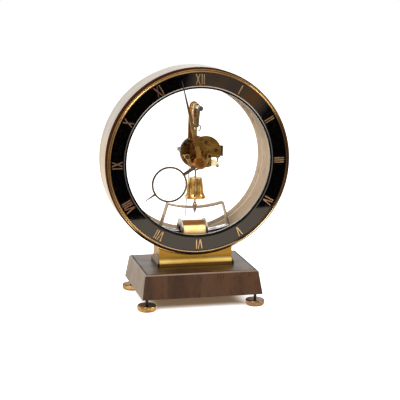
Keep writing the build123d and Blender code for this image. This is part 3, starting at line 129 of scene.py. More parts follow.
def ramp(tree, value, low, high, start=0.0, end=1.0):
    """A number that goes smoothly from start to end while the value goes from low to high."""
    made = node(tree, "ShaderNodeMapRange", {"Value": value, "From Min": low, "From Max": high,
                                             "To Min": start, "To Max": end}, interpolation_type="SMOOTHSTEP")
    return made.outputs["Result"]


def blend(tree, share, first, second):
    """A colour between two colours."""
    return node(tree, "ShaderNodeMix", {0: share, 6: first, 7: second}, data_type="RGBA").outputs[2]


def rgb(red, green, blue):
    """A colour from its three parts."""
    return (red, green, blue, 1.0)


WHITE = rgb(1, 1, 1)

# %% [markdown]
# ## The room
# A white studio stands behind the clock, and a darker room in front of it, where the photographer
# is. Polished brass is only as lively as what it mirrors, so the room is drawn by direction, for
# mirrored rays alone: one dim level, five soft patches of light, a dark doorway and a warm shelf.
# The black glass mirrors the doorway in its upper half, which keeps it black there, and the shelf
# beside the numeral I. The camera and clear glass see plain white, and plain surfaces get one
# even light.

# %% The room
def from_side(angle, height):
    """A direction by its angle to the right of the front and its height, in degrees."""
    angle, height = math.radians(angle), math.radians(height)
    return (math.sin(angle) * math.cos(height), -math.cos(angle) * math.cos(height), math.sin(height))


world = bpy.data.worlds.new("studio")
scene.world = world
world.use_nodes = True
room = world.node_tree
room.nodes.clear()
looking = node(room, "ShaderNodeTexCoord").outputs["Generated"]


def window(direction, inner, outer, strength):
    """A round patch of the room: full inside one angle and gone outside the other."""
    facing = node(room, "ShaderNodeVectorMath", {0: looking, 1: from_side(*direction)}, operation="DOT_PRODUCT")
    return ramp(room, facing.outputs["Value"], math.cos(math.radians(outer)), math.cos(math.radians(inner)),
                0.0, strength)


ROOM_LEVEL, EVEN_LEVEL = 0.34, 0.52
STUDIO_FROM, STUDIO_FULL = -0.12, 0.18
# Each patch is its direction, the angles where it is full and where it ends, and its strength.
LIGHTS = (((-38, 48), 14, 30, 1.45), ((62, 30), 14, 30, 1.0), ((-78, 8), 14, 30, 0.9), ((10, 80), 12, 30, 0.8),
          ((15, 29), 5, 15, 1.1))
DOORWAY = ((14.0, -6.5), 8.5, 13, 1.0)
SHELF, SHELF_LEVEL = ((15.85, -5.7), 1.3, 2.3, 1.0), 0.95
DAYLIGHT, LAMPLIGHT = rgb(1.0, 0.985, 0.96), rgb(1.0, 0.50, 0.19)

front = ROOM_LEVEL
for light in LIGHTS:
    front = maths(room, "ADD", front, window(*light))
front = times(room, front, invert(room, window(*DOORWAY)))
things = node(room, "ShaderNodeTexNoise", {"Vector": looking, "Scale": 60.0, "Detail": 2.0}).outputs["Fac"]
shelf = times(room, window(*SHELF), ramp(room, things, 0.40, 0.62, 0.55, 1.0))
front = maths(room, "ADD", front, times(room, shelf, SHELF_LEVEL))
depth = node(room, "ShaderNodeSeparateXYZ", {0: looking}).outputs["Y"]
mirrored = maths(room, "MAXIMUM", ramp(room, depth, STUDIO_FROM, STUDIO_FULL), front)
path = node(room, "ShaderNodeLightPath").outputs
seen = maths(room, "MAXIMUM", path["Is Camera Ray"], path["Is Transmission Ray"])
level = node(room, "ShaderNodeMix", {0: path["Is Glossy Ray"], 2: EVEN_LEVEL, 3: mirrored}).outputs[0]
level = node(room, "ShaderNodeMix", {0: seen, 2: level, 3: 1.0}).outputs[0]
hue = blend(room, seen, blend(room, shelf, DAYLIGHT, LAMPLIGHT), WHITE)
sky = node(room, "ShaderNodeBackground", {"Color": hue, "Strength": level})
node(room, "ShaderNodeOutputWorld", {"Surface": sky.outputs[0]})
print("room: level", ROOM_LEVEL, "patches of light", len(LIGHTS))

# %% [markdown]
# ## Lamps
# Three square soft lamps give the plain surfaces their form and the base its soft shadow: the
# window on the left is the strongest, the one on the right fills in, and the ceiling lights the
# rear edges.

# %% Lamps
LAMPS_FACE = Vector((0, 0, 0.13))


def lamp(name, at, width, watts, colour=(1, 1, 1)):
    """A square soft lamp that faces the middle of the clock."""
    light = bpy.data.lights.new(name, "AREA")
    light.size = width
    light.energy = watts
    light.color = colour
    held = bpy.data.objects.new(name, light)
    held.location = at
    held.rotation_euler = (LAMPS_FACE - Vector(at)).to_track_quat("-Z", "Y").to_euler()
    scene.collection.objects.link(held)


lamp("window_left", (-1.0, -1.2, 1.25), 0.8, 22.0, (1.0, 0.985, 0.965))
lamp("window_right", (1.35, -0.7, 0.9), 0.6, 9.0, (1.0, 0.975, 0.95))
lamp("ceiling", (0.1, 0.5, 1.7), 1.0, 9.0)
print("lamps:", len(bpy.data.lights))

# %% [markdown]
# ## The table
# The clock stands on a pale table, and the lower half of the black ring mirrors its front edge.
# The table is a flat sheet turned with the camera. It glows a little, so the background stays
# white, and it is lit as well, so the lamps' soft shadow stays. Close under the base the glow
# fades to a warm shade, by how far a point is from the base's outline.

# %% The table
def flat_mesh(name, points, faces):
    """An object from points and faces that are already in place."""
    mesh = bpy.data.meshes.new(name)
    mesh.from_pydata([tuple(float(v) for v in p) for p in points], [], faces)
    mesh.update()
    made = bpy.data.objects.new(name, mesh)
    scene.collection.objects.link(made)
    return made


def plain_material(name):
    """A new material, its node tree and its surface shader."""
    made = bpy.data.materials.new(name)
    made.use_nodes = True
    return made, made.node_tree, made.node_tree.nodes["Principled BSDF"]


def place_in(tree):
    """The point that is shaded, in the piece's own coordinates."""
    return node(tree, "ShaderNodeTexCoord").outputs["Object"]


TABLE_FRONT, TABLE_BACK, TABLE_HALF = 0.446, -3.2, 2.6
BASE_REACH_X, BASE_REACH_Y = 0.0688, 0.0527
SHADE_FULL, SHADE_TO = -0.026, 0.004
toward = np.array([math.sin(VIEW_SIDE), -math.cos(VIEW_SIDE), 0.0])
across = np.array([math.cos(VIEW_SIDE), math.sin(VIEW_SIDE), 0.0])
reach = [(TABLE_FRONT, -TABLE_HALF), (TABLE_FRONT, TABLE_HALF), (TABLE_BACK, TABLE_HALF), (TABLE_BACK, -TABLE_HALF)]
table = flat_mesh("table_top", [toward * f + across * s for f, s in reach], [(0, 1, 2, 3)])
pale, tree, shader = plain_material("table_white")
path = node(tree, "ShaderNodeLightPath").outputs
mirror_view = times(tree, path["Is Glossy Ray"], invert(tree, path["Is Transmission Ray"]))
spot = node(tree, "ShaderNodeSeparateXYZ", {0: place_in(tree)}).outputs
past_x = maths(tree, "SUBTRACT", maths(tree, "ABSOLUTE", spot["X"]), BASE_REACH_X)
past_y = maths(tree, "SUBTRACT", maths(tree, "ABSOLUTE", spot["Y"]), BASE_REACH_Y)
open_floor = ramp(tree, maths(tree, "MAXIMUM", past_x, past_y), SHADE_FULL, SHADE_TO)
card_colour = blend(tree, open_floor, rgb(0.55, 0.42, 0.30), rgb(0.80, 0.79, 0.78))
card = node(tree, "ShaderNodeBsdfDiffuse", {"Color": card_colour})
glow_colour = blend(tree, open_floor, rgb(0.13, 0.085, 0.05), rgb(1.0, 0.99, 0.98))
glow = node(tree, "ShaderNodeEmission", {"Color": glow_colour, "Strength": 1.0})
lit = node(tree, "ShaderNodeAddShader", {0: card.outputs[0], 1: glow.outputs[0]})
reflected = node(tree, "ShaderNodeEmission", {"Color": rgb(1.18, 1.0, 0.80), "Strength": 0.95})
both = node(tree, "ShaderNodeMixShader", {0: mirror_view, 1: lit.outputs[0], 2: reflected.outputs[0]})
tree.links.new(both.outputs[0], tree.nodes["Material Output"].inputs["Surface"])
tree.nodes.remove(shader)
table.data.materials.append(pale)
print("table: front edge", TABLE_FRONT, "m before the clock")

# %% [markdown]
# ## Patterns that several finishes share
# A real surface is never one flat colour. Three small patterns give the finishes their life: fine
# lines left by brushing, soft patches of handling and age, and the figure and pores of veneer.
# Each is a node group, built once and placed in the finishes with its own values.

# %% Shared patterns
VALUE, VECTOR = "NodeSocketFloat", "NodeSocketVector"
PLACE = ("Place", VECTOR, (0, 0, 0))
GRAIN_DRIFT, GRAIN_BEND = 9.0, 0.02
PORE_SCALE, PORE_LOW, PORE_HIGH = 11.0, 0.56, 0.70


def pattern(name, inputs, outputs):
    """A new node group, its input values and its output sockets."""
    group = bpy.data.node_groups.new(name, "ShaderNodeTree")
    for label, kind, value in inputs:
        group.interface.new_socket(label, in_out="INPUT", socket_type=kind).default_value = value
    for label in outputs:
        kind = VECTOR if label == "Unrolled" else VALUE
        group.interface.new_socket(label, in_out="OUTPUT", socket_type=kind)
    return group, group.nodes.new("NodeGroupInput").outputs, group.nodes.new("NodeGroupOutput").inputs


def vector(tree, operation, inputs):
    """The result of one operation on vectors."""
    return node(tree, "ShaderNodeVectorMath", inputs, operation=operation).outputs[0]


brushing, given, result = pattern("Brushed lines", [PLACE, ("Stretch", VECTOR, (60, 60, 4000))], ["Lines"])
stretched = vector(brushing, "MULTIPLY", {0: given["Place"], 1: given["Stretch"]})
lines = node(brushing, "ShaderNodeTexNoise", {"Vector": stretched, "Scale": 1.0, "Detail": 3.0})
brushing.links.new(lines.outputs["Fac"], result["Lines"])

ageing, given, result = pattern(
    "Aged patches", [PLACE, ("Scale", VALUE, 60.0), ("Low", VALUE, 0.4), ("High", VALUE, 0.65)], ["Patches"])
cloud = node(ageing, "ShaderNodeTexNoise", {"Vector": given["Place"], "Scale": given["Scale"], "Detail": 4.0})
ageing.links.new(ramp(ageing, cloud.outputs["Fac"], given["Low"], given["High"]), result["Patches"])

veneer, given, result = pattern("Veneer", [PLACE, ("Along", VECTOR, (6, 60, 60))], ["Figure", "Pores"])
drift = node(veneer, "ShaderNodeTexNoise", {"Vector": given["Place"], "Scale": GRAIN_DRIFT, "Detail": 2.0})
shift = vector(veneer, "SUBTRACT", {0: drift.outputs["Color"], 1: (0.5, 0.5, 0.5)})
shift = vector(veneer, "SCALE", {0: shift, "Scale": GRAIN_BEND})
bent = vector(veneer, "ADD", {0: given["Place"], 1: shift})
run = vector(veneer, "MULTIPLY", {0: bent, 1: given["Along"]})
figure = node(veneer, "ShaderNodeTexNoise", {"Vector": run, "Scale": 1.0, "Detail": 6.0, "Roughness": 0.62})
tight = vector(veneer, "SCALE", {0: run, "Scale": PORE_SCALE})
pores = node(veneer, "ShaderNodeTexNoise", {"Vector": tight, "Scale": 1.0, "Detail": 2.0})
veneer.links.new(figure.outputs["Fac"], result["Figure"])
veneer.links.new(ramp(veneer, pores.outputs["Fac"], PORE_LOW, PORE_HIGH), result["Pores"])
print("patterns:", [g.name for g in bpy.data.node_groups])

# %% [markdown]
# ## Patterns that follow the dial
# Some tones follow the clock's own form. One more group measures a point from the dial's axis and
# gives masks by distance and by depth. Another unrolls a ring to a flat strip, so that the grain
# of a bent veneer runs round the hoop.

# %% Patterns that follow the dial
MM = 0.001
DIAL_HEIGHT = 160.9
HOOP_RADIUS = 0.1


def from_axis(tree, place):
    """A point's parts, its height over the dial's axis and its distance from that axis."""
    parts = node(tree, "ShaderNodeSeparateXYZ", {0: place}).outputs
    rise = maths(tree, "SUBTRACT", parts["Z"], DIAL_HEIGHT * MM)
    squares = maths(tree, "ADD", times(tree, parts["X"], parts["X"]), times(tree, rise, rise))
    return parts, rise, maths(tree, "SQRT", squares)


masking, given, result = pattern(
    "Dial masks", [PLACE, ("Radius from", VALUE, 0.08), ("Radius to", VALUE, 0.081),
                   ("Depth from", VALUE, -0.02), ("Depth to", VALUE, -0.018)], ["Outside", "Behind"])
parts, rise, radius = from_axis(masking, given["Place"])
masking.links.new(ramp(masking, radius, given["Radius from"], given["Radius to"]), result["Outside"])
masking.links.new(ramp(masking, parts["Y"], given["Depth from"], given["Depth to"]), result["Behind"])

rolling, given, result = pattern("Round the dial", [PLACE], ["Unrolled"])
parts, rise, radius = from_axis(rolling, given["Place"])
swing = times(rolling, maths(rolling, "ARCTAN2", parts["X"], rise), HOOP_RADIUS)
flat = node(rolling, "ShaderNodeCombineXYZ", {"X": swing, "Y": parts["Y"], "Z": radius})
rolling.links.new(flat.outputs[0], result["Unrolled"])


def use(tree, group, place=None, **inputs):
    """A pattern placed in a finish, reading the piece's own coordinates or a place that is given."""
    place = place_in(tree) if place is None else place
    made = node(tree, "ShaderNodeGroup", {"Place": place}, node_tree=group)
    for name, value in inputs.items():
        feed(tree, made.inputs[name.replace("_", " ")], value)
    return made.outputs


def outside(tree, start, full, place=None):
    """A mask that is empty at one distance from the dial's axis and full at another."""
    return use(tree, masking, place, Radius_from=start, Radius_to=full)["Outside"]


def behind(tree, start, full):
    """A mask that is empty at one depth and full at another."""
    return use(tree, masking, Depth_from=start, Depth_to=full)["Behind"]


print("patterns of the dial:", masking.name, "and", rolling.name)

# %% [markdown]
# ## Metal finishes
# All the bright parts are brass or steel, but no two batches look alike: the bezel is lacquered,
# the plates have gone brown, the hour hand is dull olive and the terminal arm's post is nearly
# white. One recipe makes them all. Its colour moves between two tones by soft patches, its
# roughness and a faint relief follow the brushed lines, and some have spots of grime.

# %% Metal recipe
PATCH_LOW, PATCH_HIGH = 0.38, 0.62
GRIME_SCALE, GRIME_LOW, GRIME_HIGH, GRIME_SHARE = 4.3, 0.58, 0.72, 0.55
LINE_GLOSS, LINE_RELIEF = 0.16, 0.35


def emboss(tree, shader, pattern_height, strength, bump):
    """A faint relief that follows a pattern, with its depth in millimetres."""
    relief = node(tree, "ShaderNodeBump", {"Height": pattern_height, "Strength": strength, "Distance": bump * MM})
    tree.links.new(relief.outputs[0], shader.inputs["Normal"])


def metal(name, deep, bright, rough, stretch, patches, bump=0.02, grime=None):
    """A metal whose tone, gloss and faint relief vary over the surface."""
    made, tree, shader = plain_material(name)
    age = use(tree, ageing, Scale=patches, Low=PATCH_LOW, High=PATCH_HIGH)["Patches"]
    line = use(tree, brushing, Stretch=stretch)["Lines"]
    colour = blend(tree, age, rgb(*deep), rgb(*bright))
    if grime is not None:
        spots = use(tree, ageing, Scale=patches * GRIME_SCALE, Low=GRIME_LOW, High=GRIME_HIGH)["Patches"]
        colour = blend(tree, times(tree, spots, GRIME_SHARE), colour, rgb(*grime))
    tree.links.new(colour, shader.inputs["Base Color"])
    shader.inputs["Metallic"].default_value = 1.0
    gloss = maths(tree, "MULTIPLY_ADD", line, LINE_GLOSS, rough - LINE_GLOSS / 2)
    tree.links.new(gloss, shader.inputs["Roughness"])
    emboss(tree, shader, line, LINE_RELIEF, bump)
    return made


# Deep tone, bright tone, roughness, stretch of the lines, scale of the patches, relief in mm, grime.
METALS = {
    "saddle_brass": ((0.70, 0.44, 0.10), (0.84, 0.58, 0.17), 0.28, (12, 500, 500), 22, 0.01),
    "foot_brass": ((0.36, 0.21, 0.07), (0.72, 0.48, 0.18), 0.26, (60, 60, 60), 160, 0.02, (0.14, 0.07, 0.03)),
    "plate_brass": ((0.40, 0.21, 0.05), (0.64, 0.39, 0.10), 0.28, (60, 900, 1400), 150, 0.02, (0.20, 0.10, 0.03)),
    "cup_brass": ((0.26, 0.125, 0.03), (0.60, 0.37, 0.09), 0.30, (60, 900, 1400), 130),
    "cock_brass": ((0.70, 0.50, 0.18), (0.95, 0.76, 0.38), 0.30, (900, 300, 300), 150),
    "wheel_brass": ((0.24, 0.13, 0.04), (0.58, 0.36, 0.13), 0.24, (800, 300, 800), 160),
    "minute_brass": ((0.40, 0.19, 0.045), (0.70, 0.38, 0.10), 0.32, (200, 300, 900), 90),
    "hour_brass": ((0.17, 0.125, 0.08), (0.36, 0.27, 0.17), 0.30, (500, 300, 500), 90),
    "hub_nut": ((0.26, 0.21, 0.21), (0.58, 0.48, 0.49), 0.24, (500, 300, 500), 300),
    "post_brass": ((0.80, 0.66, 0.42), (0.96, 0.90, 0.76), 0.22, (600, 60, 600), 180),
    "pendulum_brass": ((0.48, 0.25, 0.06), (0.88, 0.56, 0.19), 0.26, (500, 500, 60), 110),
    "strap_brass": ((0.30, 0.15, 0.05), (0.62, 0.36, 0.12), 0.26, (900, 300, 60), 60),
    "hanger_brass": ((0.42, 0.27, 0.11), (0.96, 0.70, 0.36), 0.26, (500, 500, 60), 260),
    "post_nickel": ((0.16, 0.14, 0.10), (0.46, 0.42, 0.33), 0.24, (500, 500, 500), 300),
    "rod_steel": ((0.17, 0.17, 0.18), (0.34, 0.34, 0.36), 0.26, (700, 700, 120), 180),
    "wire_steel": ((0.07, 0.07, 0.065), (0.17, 0.165, 0.15), 0.35, (700, 700, 700), 180),
    "frame_brass": ((0.32, 0.24, 0.15), (0.50, 0.38, 0.25), 0.48, (60, 60, 60), 40, 0.0),
    "nut_copper": ((0.45, 0.18, 0.07), (0.78, 0.42, 0.20), 0.22, (400, 400, 900), 220),
    "coil_wire": ((0.95, 0.72, 0.32), (1.0, 0.84, 0.46), 0.50, (60, 900, 900), 60),
    "numeral_gold": ((0.74, 0.50, 0.24), (0.96, 0.74, 0.44), 0.25, (900, 900, 900), 120),
    "steel": ((0.36, 0.34, 0.32), (0.62, 0.60, 0.58), 0.24, (700, 700, 120), 180),
    "screw_steel": ((0.14, 0.07, 0.03), (0.42, 0.25, 0.12), 0.26, (500, 500, 500), 260),
    "magnet_steel": ((0.50, 0.50, 0.50), (0.78, 0.78, 0.79), 0.20, (60, 900, 900), 120),
    "spring_steel": ((0.40, 0.38, 0.35), (0.70, 0.68, 0.64), 0.26, (700, 700, 700), 180),
    "bezel_brass": ((0.40, 0.23, 0.085), (0.60, 0.38, 0.155), 0.13, (20, 20, 20), 26, 0.0),
}
finishes = {name: metal(name, *values) for name, values in METALS.items()}
print("metal finishes:", len(finishes))

# %% [markdown]
# ## Tones by place
# Painted shade, painted highlights and a few tones of the thing's own lie in places: a darker rim, a dull
# end, a pale top. Such a tone is laid over a finish through a mask. A dark place also has to lose its
# metal and its gloss, since at a low angle a polished surface mirrors the white studio, whatever its colour.

# %% Tones by place
def height_in(tree):
    """The height above the floor of the point that is shaded."""
    return node(tree, "ShaderNodeSeparateXYZ", {0: place_in(tree)}).outputs["Z"]


def side_in(tree):
    """How far to the right of the dial's middle the point is that is shaded."""
    return node(tree, "ShaderNodeSeparateXYZ", {0: place_in(tree)}).outputs["X"]


def band(tree, value, low, high, soft):
    """A mask that is full between two values."""
    rise = ramp(tree, value, low - soft, low + soft)
    return maths(tree, "SUBTRACT", rise, ramp(tree, value, high - soft, high + soft), clamp=True)


def shader_of(made):
    """The surface shader of a finish."""
    return made.node_tree.nodes["Principled BSDF"]


def repaint(made, mask, colour):
    """Lay another colour over a finish where a mask from its own tree is full."""
    tree, shader = made.node_tree, shader_of(made)
    under = shader.inputs["Base Color"].links[0].from_socket
    tree.links.new(blend(tree, mask, under, rgb(*colour)), shader.inputs["Base Color"])


def grade(made, name, mask, start, end):
    """Let one value of a finish go from start to end where a mask is full."""
    made.node_tree.links.new(ramp(made.node_tree, mask, 0.0, 1.0, start, end), shader_of(made).inputs[name])


def set_specular(made, value):
    """Set how strongly a finish mirrors straight on."""
    shader_of(made).inputs["Specular IOR Level"].default_value = value


print("helpers for tones: height, side, band, repaint, grade")

# %% [markdown]
# ## The bezel's finish
# The bezel is polished brass with two beads, and it is mostly seen as thin lines: painted shade darkens
# the groove between the beads, the lip at the glass and the outer flank. On the right its bright line
# fades into painted shade, at the lower right the inner bead is painted dark and only the outer bead
# shows, in a painted olive reflection, and at the very bottom a painted pale reflection lies on it.

# %% The bezel's finish
GROOVE_AT, GROOVE_WIDE, GROOVE_CORE = 0.10200, 0.00055, 0.4
FLANK_AT, FLANK_WIDE = 0.10320, 0.00040
LIP_AT, LIP_WIDE = 0.10040, 0.00020
SHADED_FROM, SHADED_TO = 0.098, 0.080
# Each place is where its tone starts and where it is full, to the right (X) or above the floor (Z).
LOW_RIGHT_X, LOW_RIGHT_Z = (0.034, 0.050), (0.125, 0.105)
RIGHT_EDGE_X, RIGHT_EDGE_LOW, RIGHT_EDGE_HIGH, RIGHT_EDGE_SOFT = (0.078, 0.094), 0.108, 0.212, 0.012
BOTTOM_Z = (0.078, 0.066)
made = finishes["bezel_brass"]
tree = made.node_tree
height, side = height_in(tree), side_in(tree)
from_groove = outside(tree, GROOVE_AT - GROOVE_WIDE, GROOVE_AT - GROOVE_CORE * GROOVE_WIDE)
past_groove = outside(tree, GROOVE_AT + GROOVE_CORE * GROOVE_WIDE, GROOVE_AT + GROOVE_WIDE)
groove = maths(tree, "SUBTRACT", from_groove, past_groove, clamp=True)
low_right = times(tree, ramp(tree, side, *LOW_RIGHT_X), ramp(tree, height, *LOW_RIGHT_Z))
elsewhere = invert(tree, low_right)
shaded = times(tree, ramp(tree, height, SHADED_TO, SHADED_FROM, 1.0, 0.0), elsewhere)
painted_flank_shade = times(tree, outside(tree, FLANK_AT, FLANK_AT + FLANK_WIDE), elsewhere)
painted_flank_shade = maths(tree, "MAXIMUM", painted_flank_shade, times(tree, shaded, past_groove))
at_right = band(tree, height, RIGHT_EDGE_LOW, RIGHT_EDGE_HIGH, RIGHT_EDGE_SOFT)
painted_right_shade = times(tree, ramp(tree, side, *RIGHT_EDGE_X), at_right)
painted_lip_shade = outside(tree, LIP_AT, LIP_AT - LIP_WIDE)
painted_lip_shade = maths(tree, "MAXIMUM", painted_lip_shade, times(tree, low_right, invert(tree, from_groove)))
# Painted shade on the right side, the lip, the groove and the flank; painted reflections, olive at the lower right
# and pale at the bottom.
repaint(made, times(tree, painted_right_shade, 0.8), (0.10, 0.05, 0.022))
repaint(made, times(tree, low_right, from_groove), (0.44, 0.38, 0.22))
repaint(made, ramp(tree, height, *BOTTOM_Z, 0.0, 0.8), (0.90, 0.68, 0.40))
repaint(made, painted_lip_shade, (0.030, 0.014, 0.008))
repaint(made, times(tree, groove, elsewhere), (0.05, 0.022, 0.010))
repaint(made, painted_flank_shade, (0.030, 0.010, 0.005))
repaint(made, times(tree, painted_flank_shade, shaded), (0.005, 0.002, 0.001))
# The flank's painted shade also takes away its metal and its gloss.
grade(made, "Metallic", painted_flank_shade, 1.0, 0.0)
grade(made, "Specular IOR Level", painted_flank_shade, 0.5, 0.0)
print("bezel: beads meet at radius", GROOVE_AT)

# %% [markdown]
# ## Numerals and hands
# The gold strokes are bright on their crests and carry painted brown shade on their skirts, and painted
# shade dulls them on both sides of the upper dial. The minute hand pales towards its tip, its hub is
# copper red, and the hour hand's boss is warmer than its arm and ring.

# %% Numerals and hands
CREST_DEPTH, SKIRT_DEPTH = -0.02522, -0.02517
UPPER_DIAL_Z, DULL_LEFT_X, DULL_RIGHT_X = (0.095, 0.108), (-0.030, -0.045), (0.060, 0.078)
TIP_FROM, TIP_FULL = 0.030, 0.085
MINUTE_HUB_OUT, MINUTE_HUB_IN = 0.0070, 0.0064
HOUR_HUB_IN, HOUR_HUB_OUT = 0.0068, 0.0080
made = finishes["numeral_gold"]
tree = made.node_tree
upper_dial = ramp(tree, height_in(tree), *UPPER_DIAL_Z)
at_left = ramp(tree, side_in(tree), *DULL_LEFT_X)
at_right = ramp(tree, side_in(tree), *DULL_RIGHT_X, 0.0, 0.65)
# Painted shade: the strokes on both sides of the upper dial are dulled, and their skirts are brown.
repaint(made, times(tree, upper_dial, maths(tree, "MAXIMUM", at_left, at_right)), (0.29, 0.195, 0.135))
repaint(made, behind(tree, CREST_DEPTH, SKIRT_DEPTH), (0.07, 0.024, 0.008))

made = finishes["minute_brass"]
repaint(made, outside(made.node_tree, TIP_FROM, TIP_FULL), (0.20, 0.145, 0.115))
repaint(made, outside(made.node_tree, MINUTE_HUB_OUT, MINUTE_HUB_IN), (0.50, 0.16, 0.016))
made = finishes["hour_brass"]
boss = invert(made.node_tree, outside(made.node_tree, HOUR_HUB_IN, HOUR_HUB_OUT))
repaint(made, boss, (0.72, 0.33, 0.10))
print("hands: hub radius", MINUTE_HUB_IN)

# %% [markdown]
# ## Movement
# The front plate is browner on the left, where the cup behind it shades it. The cup's outer wall is
# painted nearly black as painted shade, one screw on the left carries a painted pale glint, and the
# coil's lacquered wire has painted brown shade along its top.

# %% Movement
CUP_OFF_AXIS, CUP_WALL_FROM, CUP_WALL_FULL = (0.0018, 0.0, 0.0082), 0.0177, 0.0178
PLATE_LEFT_X, GLINT_SCREW_X, COIL_TOP_Z = (0.006, -0.005), (-0.0145, -0.0155), (0.0876, 0.0888)
made = finishes["plate_brass"]
# Painted shade: the plate is browner on the left.
repaint(made, ramp(made.node_tree, side_in(made.node_tree), *PLATE_LEFT_X, 0.0, 0.75), (0.22, 0.10, 0.03))
made = finishes["screw_steel"]
# Painted highlight: a pale glint on the screw at the left.
repaint(made, ramp(made.node_tree, side_in(made.node_tree), *GLINT_SCREW_X), (0.50, 0.49, 0.46))
made = finishes["coil_wire"]
# Painted shade along the top of the coil's wire.
repaint(made, ramp(made.node_tree, height_in(made.node_tree), *COIL_TOP_Z), (0.42, 0.21, 0.07))
made = finishes["cup_brass"]
tree = made.node_tree
from_middle = vector(tree, "SUBTRACT", {0: place_in(tree), 1: CUP_OFF_AXIS})
wall = outside(tree, CUP_WALL_FROM, CUP_WALL_FULL, from_middle)
# Painted shade: the cup's outer wall is nearly black and loses its metal and its gloss.
repaint(made, wall, (0.035, 0.018, 0.012))
grade(made, "Metallic", wall, 1.0, 0.0)
grade(made, "Specular IOR Level", wall, 0.5, 0.1)
print("cup: wall from radius", CUP_WALL_FULL)

# %% [markdown]
# ## Saddle and feet
# The saddle's cove is its brightest part. Its neck and its fascia are a deeper gold of painted shade, with a
# painted dark shade line at the foot, painted shade on the ends and a painted highlight where the hoop rests.
# The feet have painted shade on their upper and lower edges, and the two on the right are duller by painted shade.

# %% Saddle and feet
FASCIA_FROM, COVE_FROM, NECK_FROM, END_FROM = 0.0409, 0.0447, 0.0513, 0.0421
REST_LINE_OUT, REST_LINE_IN = 0.1077, 0.1073
FOOT_LOW_EDGE, FOOT_HIGH_EDGE, FOOT_EDGE_SOFT = 0.0019, 0.0059, 0.0007
RIGHT_FEET_X = (0.0, 0.02)
made = finishes["saddle_brass"]
tree = made.node_tree
height = height_in(tree)
at_end = ramp(tree, maths(tree, "ABSOLUTE", side_in(tree)), END_FROM, END_FROM + 0.0003)
# Painted shade on the neck, the fascia, the foot line and the ends, and a painted highlight where the hoop rests.
repaint(made, ramp(tree, height, NECK_FROM - 0.0012, NECK_FROM + 0.0004), (0.46, 0.26, 0.045))
repaint(made, ramp(tree, height, COVE_FROM + 0.0004, COVE_FROM - 0.0006), (0.40, 0.23, 0.045))
repaint(made, ramp(tree, height, FASCIA_FROM + 0.0012, FASCIA_FROM), (0.16, 0.07, 0.012))
repaint(made, outside(tree, REST_LINE_OUT, REST_LINE_IN), (0.98, 0.76, 0.36))
repaint(made, at_end, (0.10, 0.055, 0.012))

made = finishes["foot_brass"]
tree = made.node_tree
# Painted shade on the feet's upper and lower edges and on the two feet at the right.
edges = invert(tree, band(tree, height_in(tree), FOOT_LOW_EDGE, FOOT_HIGH_EDGE, FOOT_EDGE_SOFT))
repaint(made, ramp(tree, side_in(tree), *RIGHT_FEET_X, 0.0, 0.85), (0.30, 0.19, 0.125))
repaint(made, times(tree, edges, 0.85), (0.16, 0.085, 0.035))
print("saddle: cove from height", COVE_FROM)

# %% [markdown]
# ## Stained wood
# Base and hoop are veneered. One recipe lays streaks of two browns with dark pores under a clear
# coat, and reads either the piece's own coordinates, the unrolled ring, or the unrolled ring with
# its left half mirrored, as matched veneers are laid, which hides the seam.

# %% Stained wood
HOOP_GRAIN = (6, 70, 70)
STREAK_LOW, STREAK_HIGH, PORE_SHARE, SOFT_RELIEF = 0.34, 0.66, 0.6, 0.3


def unrolled(tree):
    """The point that is shaded, on the ring rolled out to a strip."""
    return use(tree, rolling)["Unrolled"]


def matched(tree):
    """The same strip with its left half mirrored."""
    return vector(tree, "ABSOLUTE", {0: unrolled(tree)})


def lacquered(name, dark, warm, pore, along, rough, coat, place=place_in, bump=0.05):
    """Stained veneer under a clear coat, which is given as its weight, roughness and IOR."""
    made, tree, shader = plain_material(name)
    grain = use(tree, veneer, place(tree), Along=along)
    colour = blend(tree, ramp(tree, grain["Figure"], STREAK_LOW, STREAK_HIGH), rgb(*dark), rgb(*warm))
    colour = blend(tree, times(tree, grain["Pores"], PORE_SHARE), colour, rgb(*pore))
    tree.links.new(colour, shader.inputs["Base Color"])
    worn = use(tree, ageing, Scale=45.0, Low=0.35, High=0.7)["Patches"]
    grade(made, "Roughness", worn, rough - 0.06, rough + 0.08)
    for part, value in zip(("Weight", "Roughness", "IOR"), coat):
        shader.inputs["Coat " + part].default_value = value
    shader.inputs["IOR"].default_value = 1.5
    emboss(tree, shader, grain["Figure"], SOFT_RELIEF, bump)
    return made


finishes["walnut"] = lacquered("walnut", (0.034, 0.014, 0.006), (0.066, 0.028, 0.011), (0.016, 0.007, 0.004),
                               (45, 14, 9), 0.42, (0.8, 0.34, 1.7))
finishes["hoop_veneer"] = lacquered("hoop_veneer", (0.24, 0.18, 0.115), (0.33, 0.25, 0.165), (0.20, 0.15, 0.095),
                                    HOOP_GRAIN, 0.36, (0.85, 0.15, 1.55), unrolled, 0.01)
finishes["tan_ring"] = lacquered("tan_ring", (0.68, 0.53, 0.38), (0.82, 0.67, 0.50), (0.52, 0.39, 0.27),
                                 HOOP_GRAIN, 0.42, (0.3, 0.16, 1.5), matched)
print("wood finishes: 3")

# %% [markdown]
# ## Walnut base
# The base is dark walnut under a worn lacquer. Its front faces the dark room and looks brown,
# while its sides and top mirror the pale studio, so the coat is weaker on the front. A thin dark
# line runs round the top, just inside a bevelled edge that is paler.

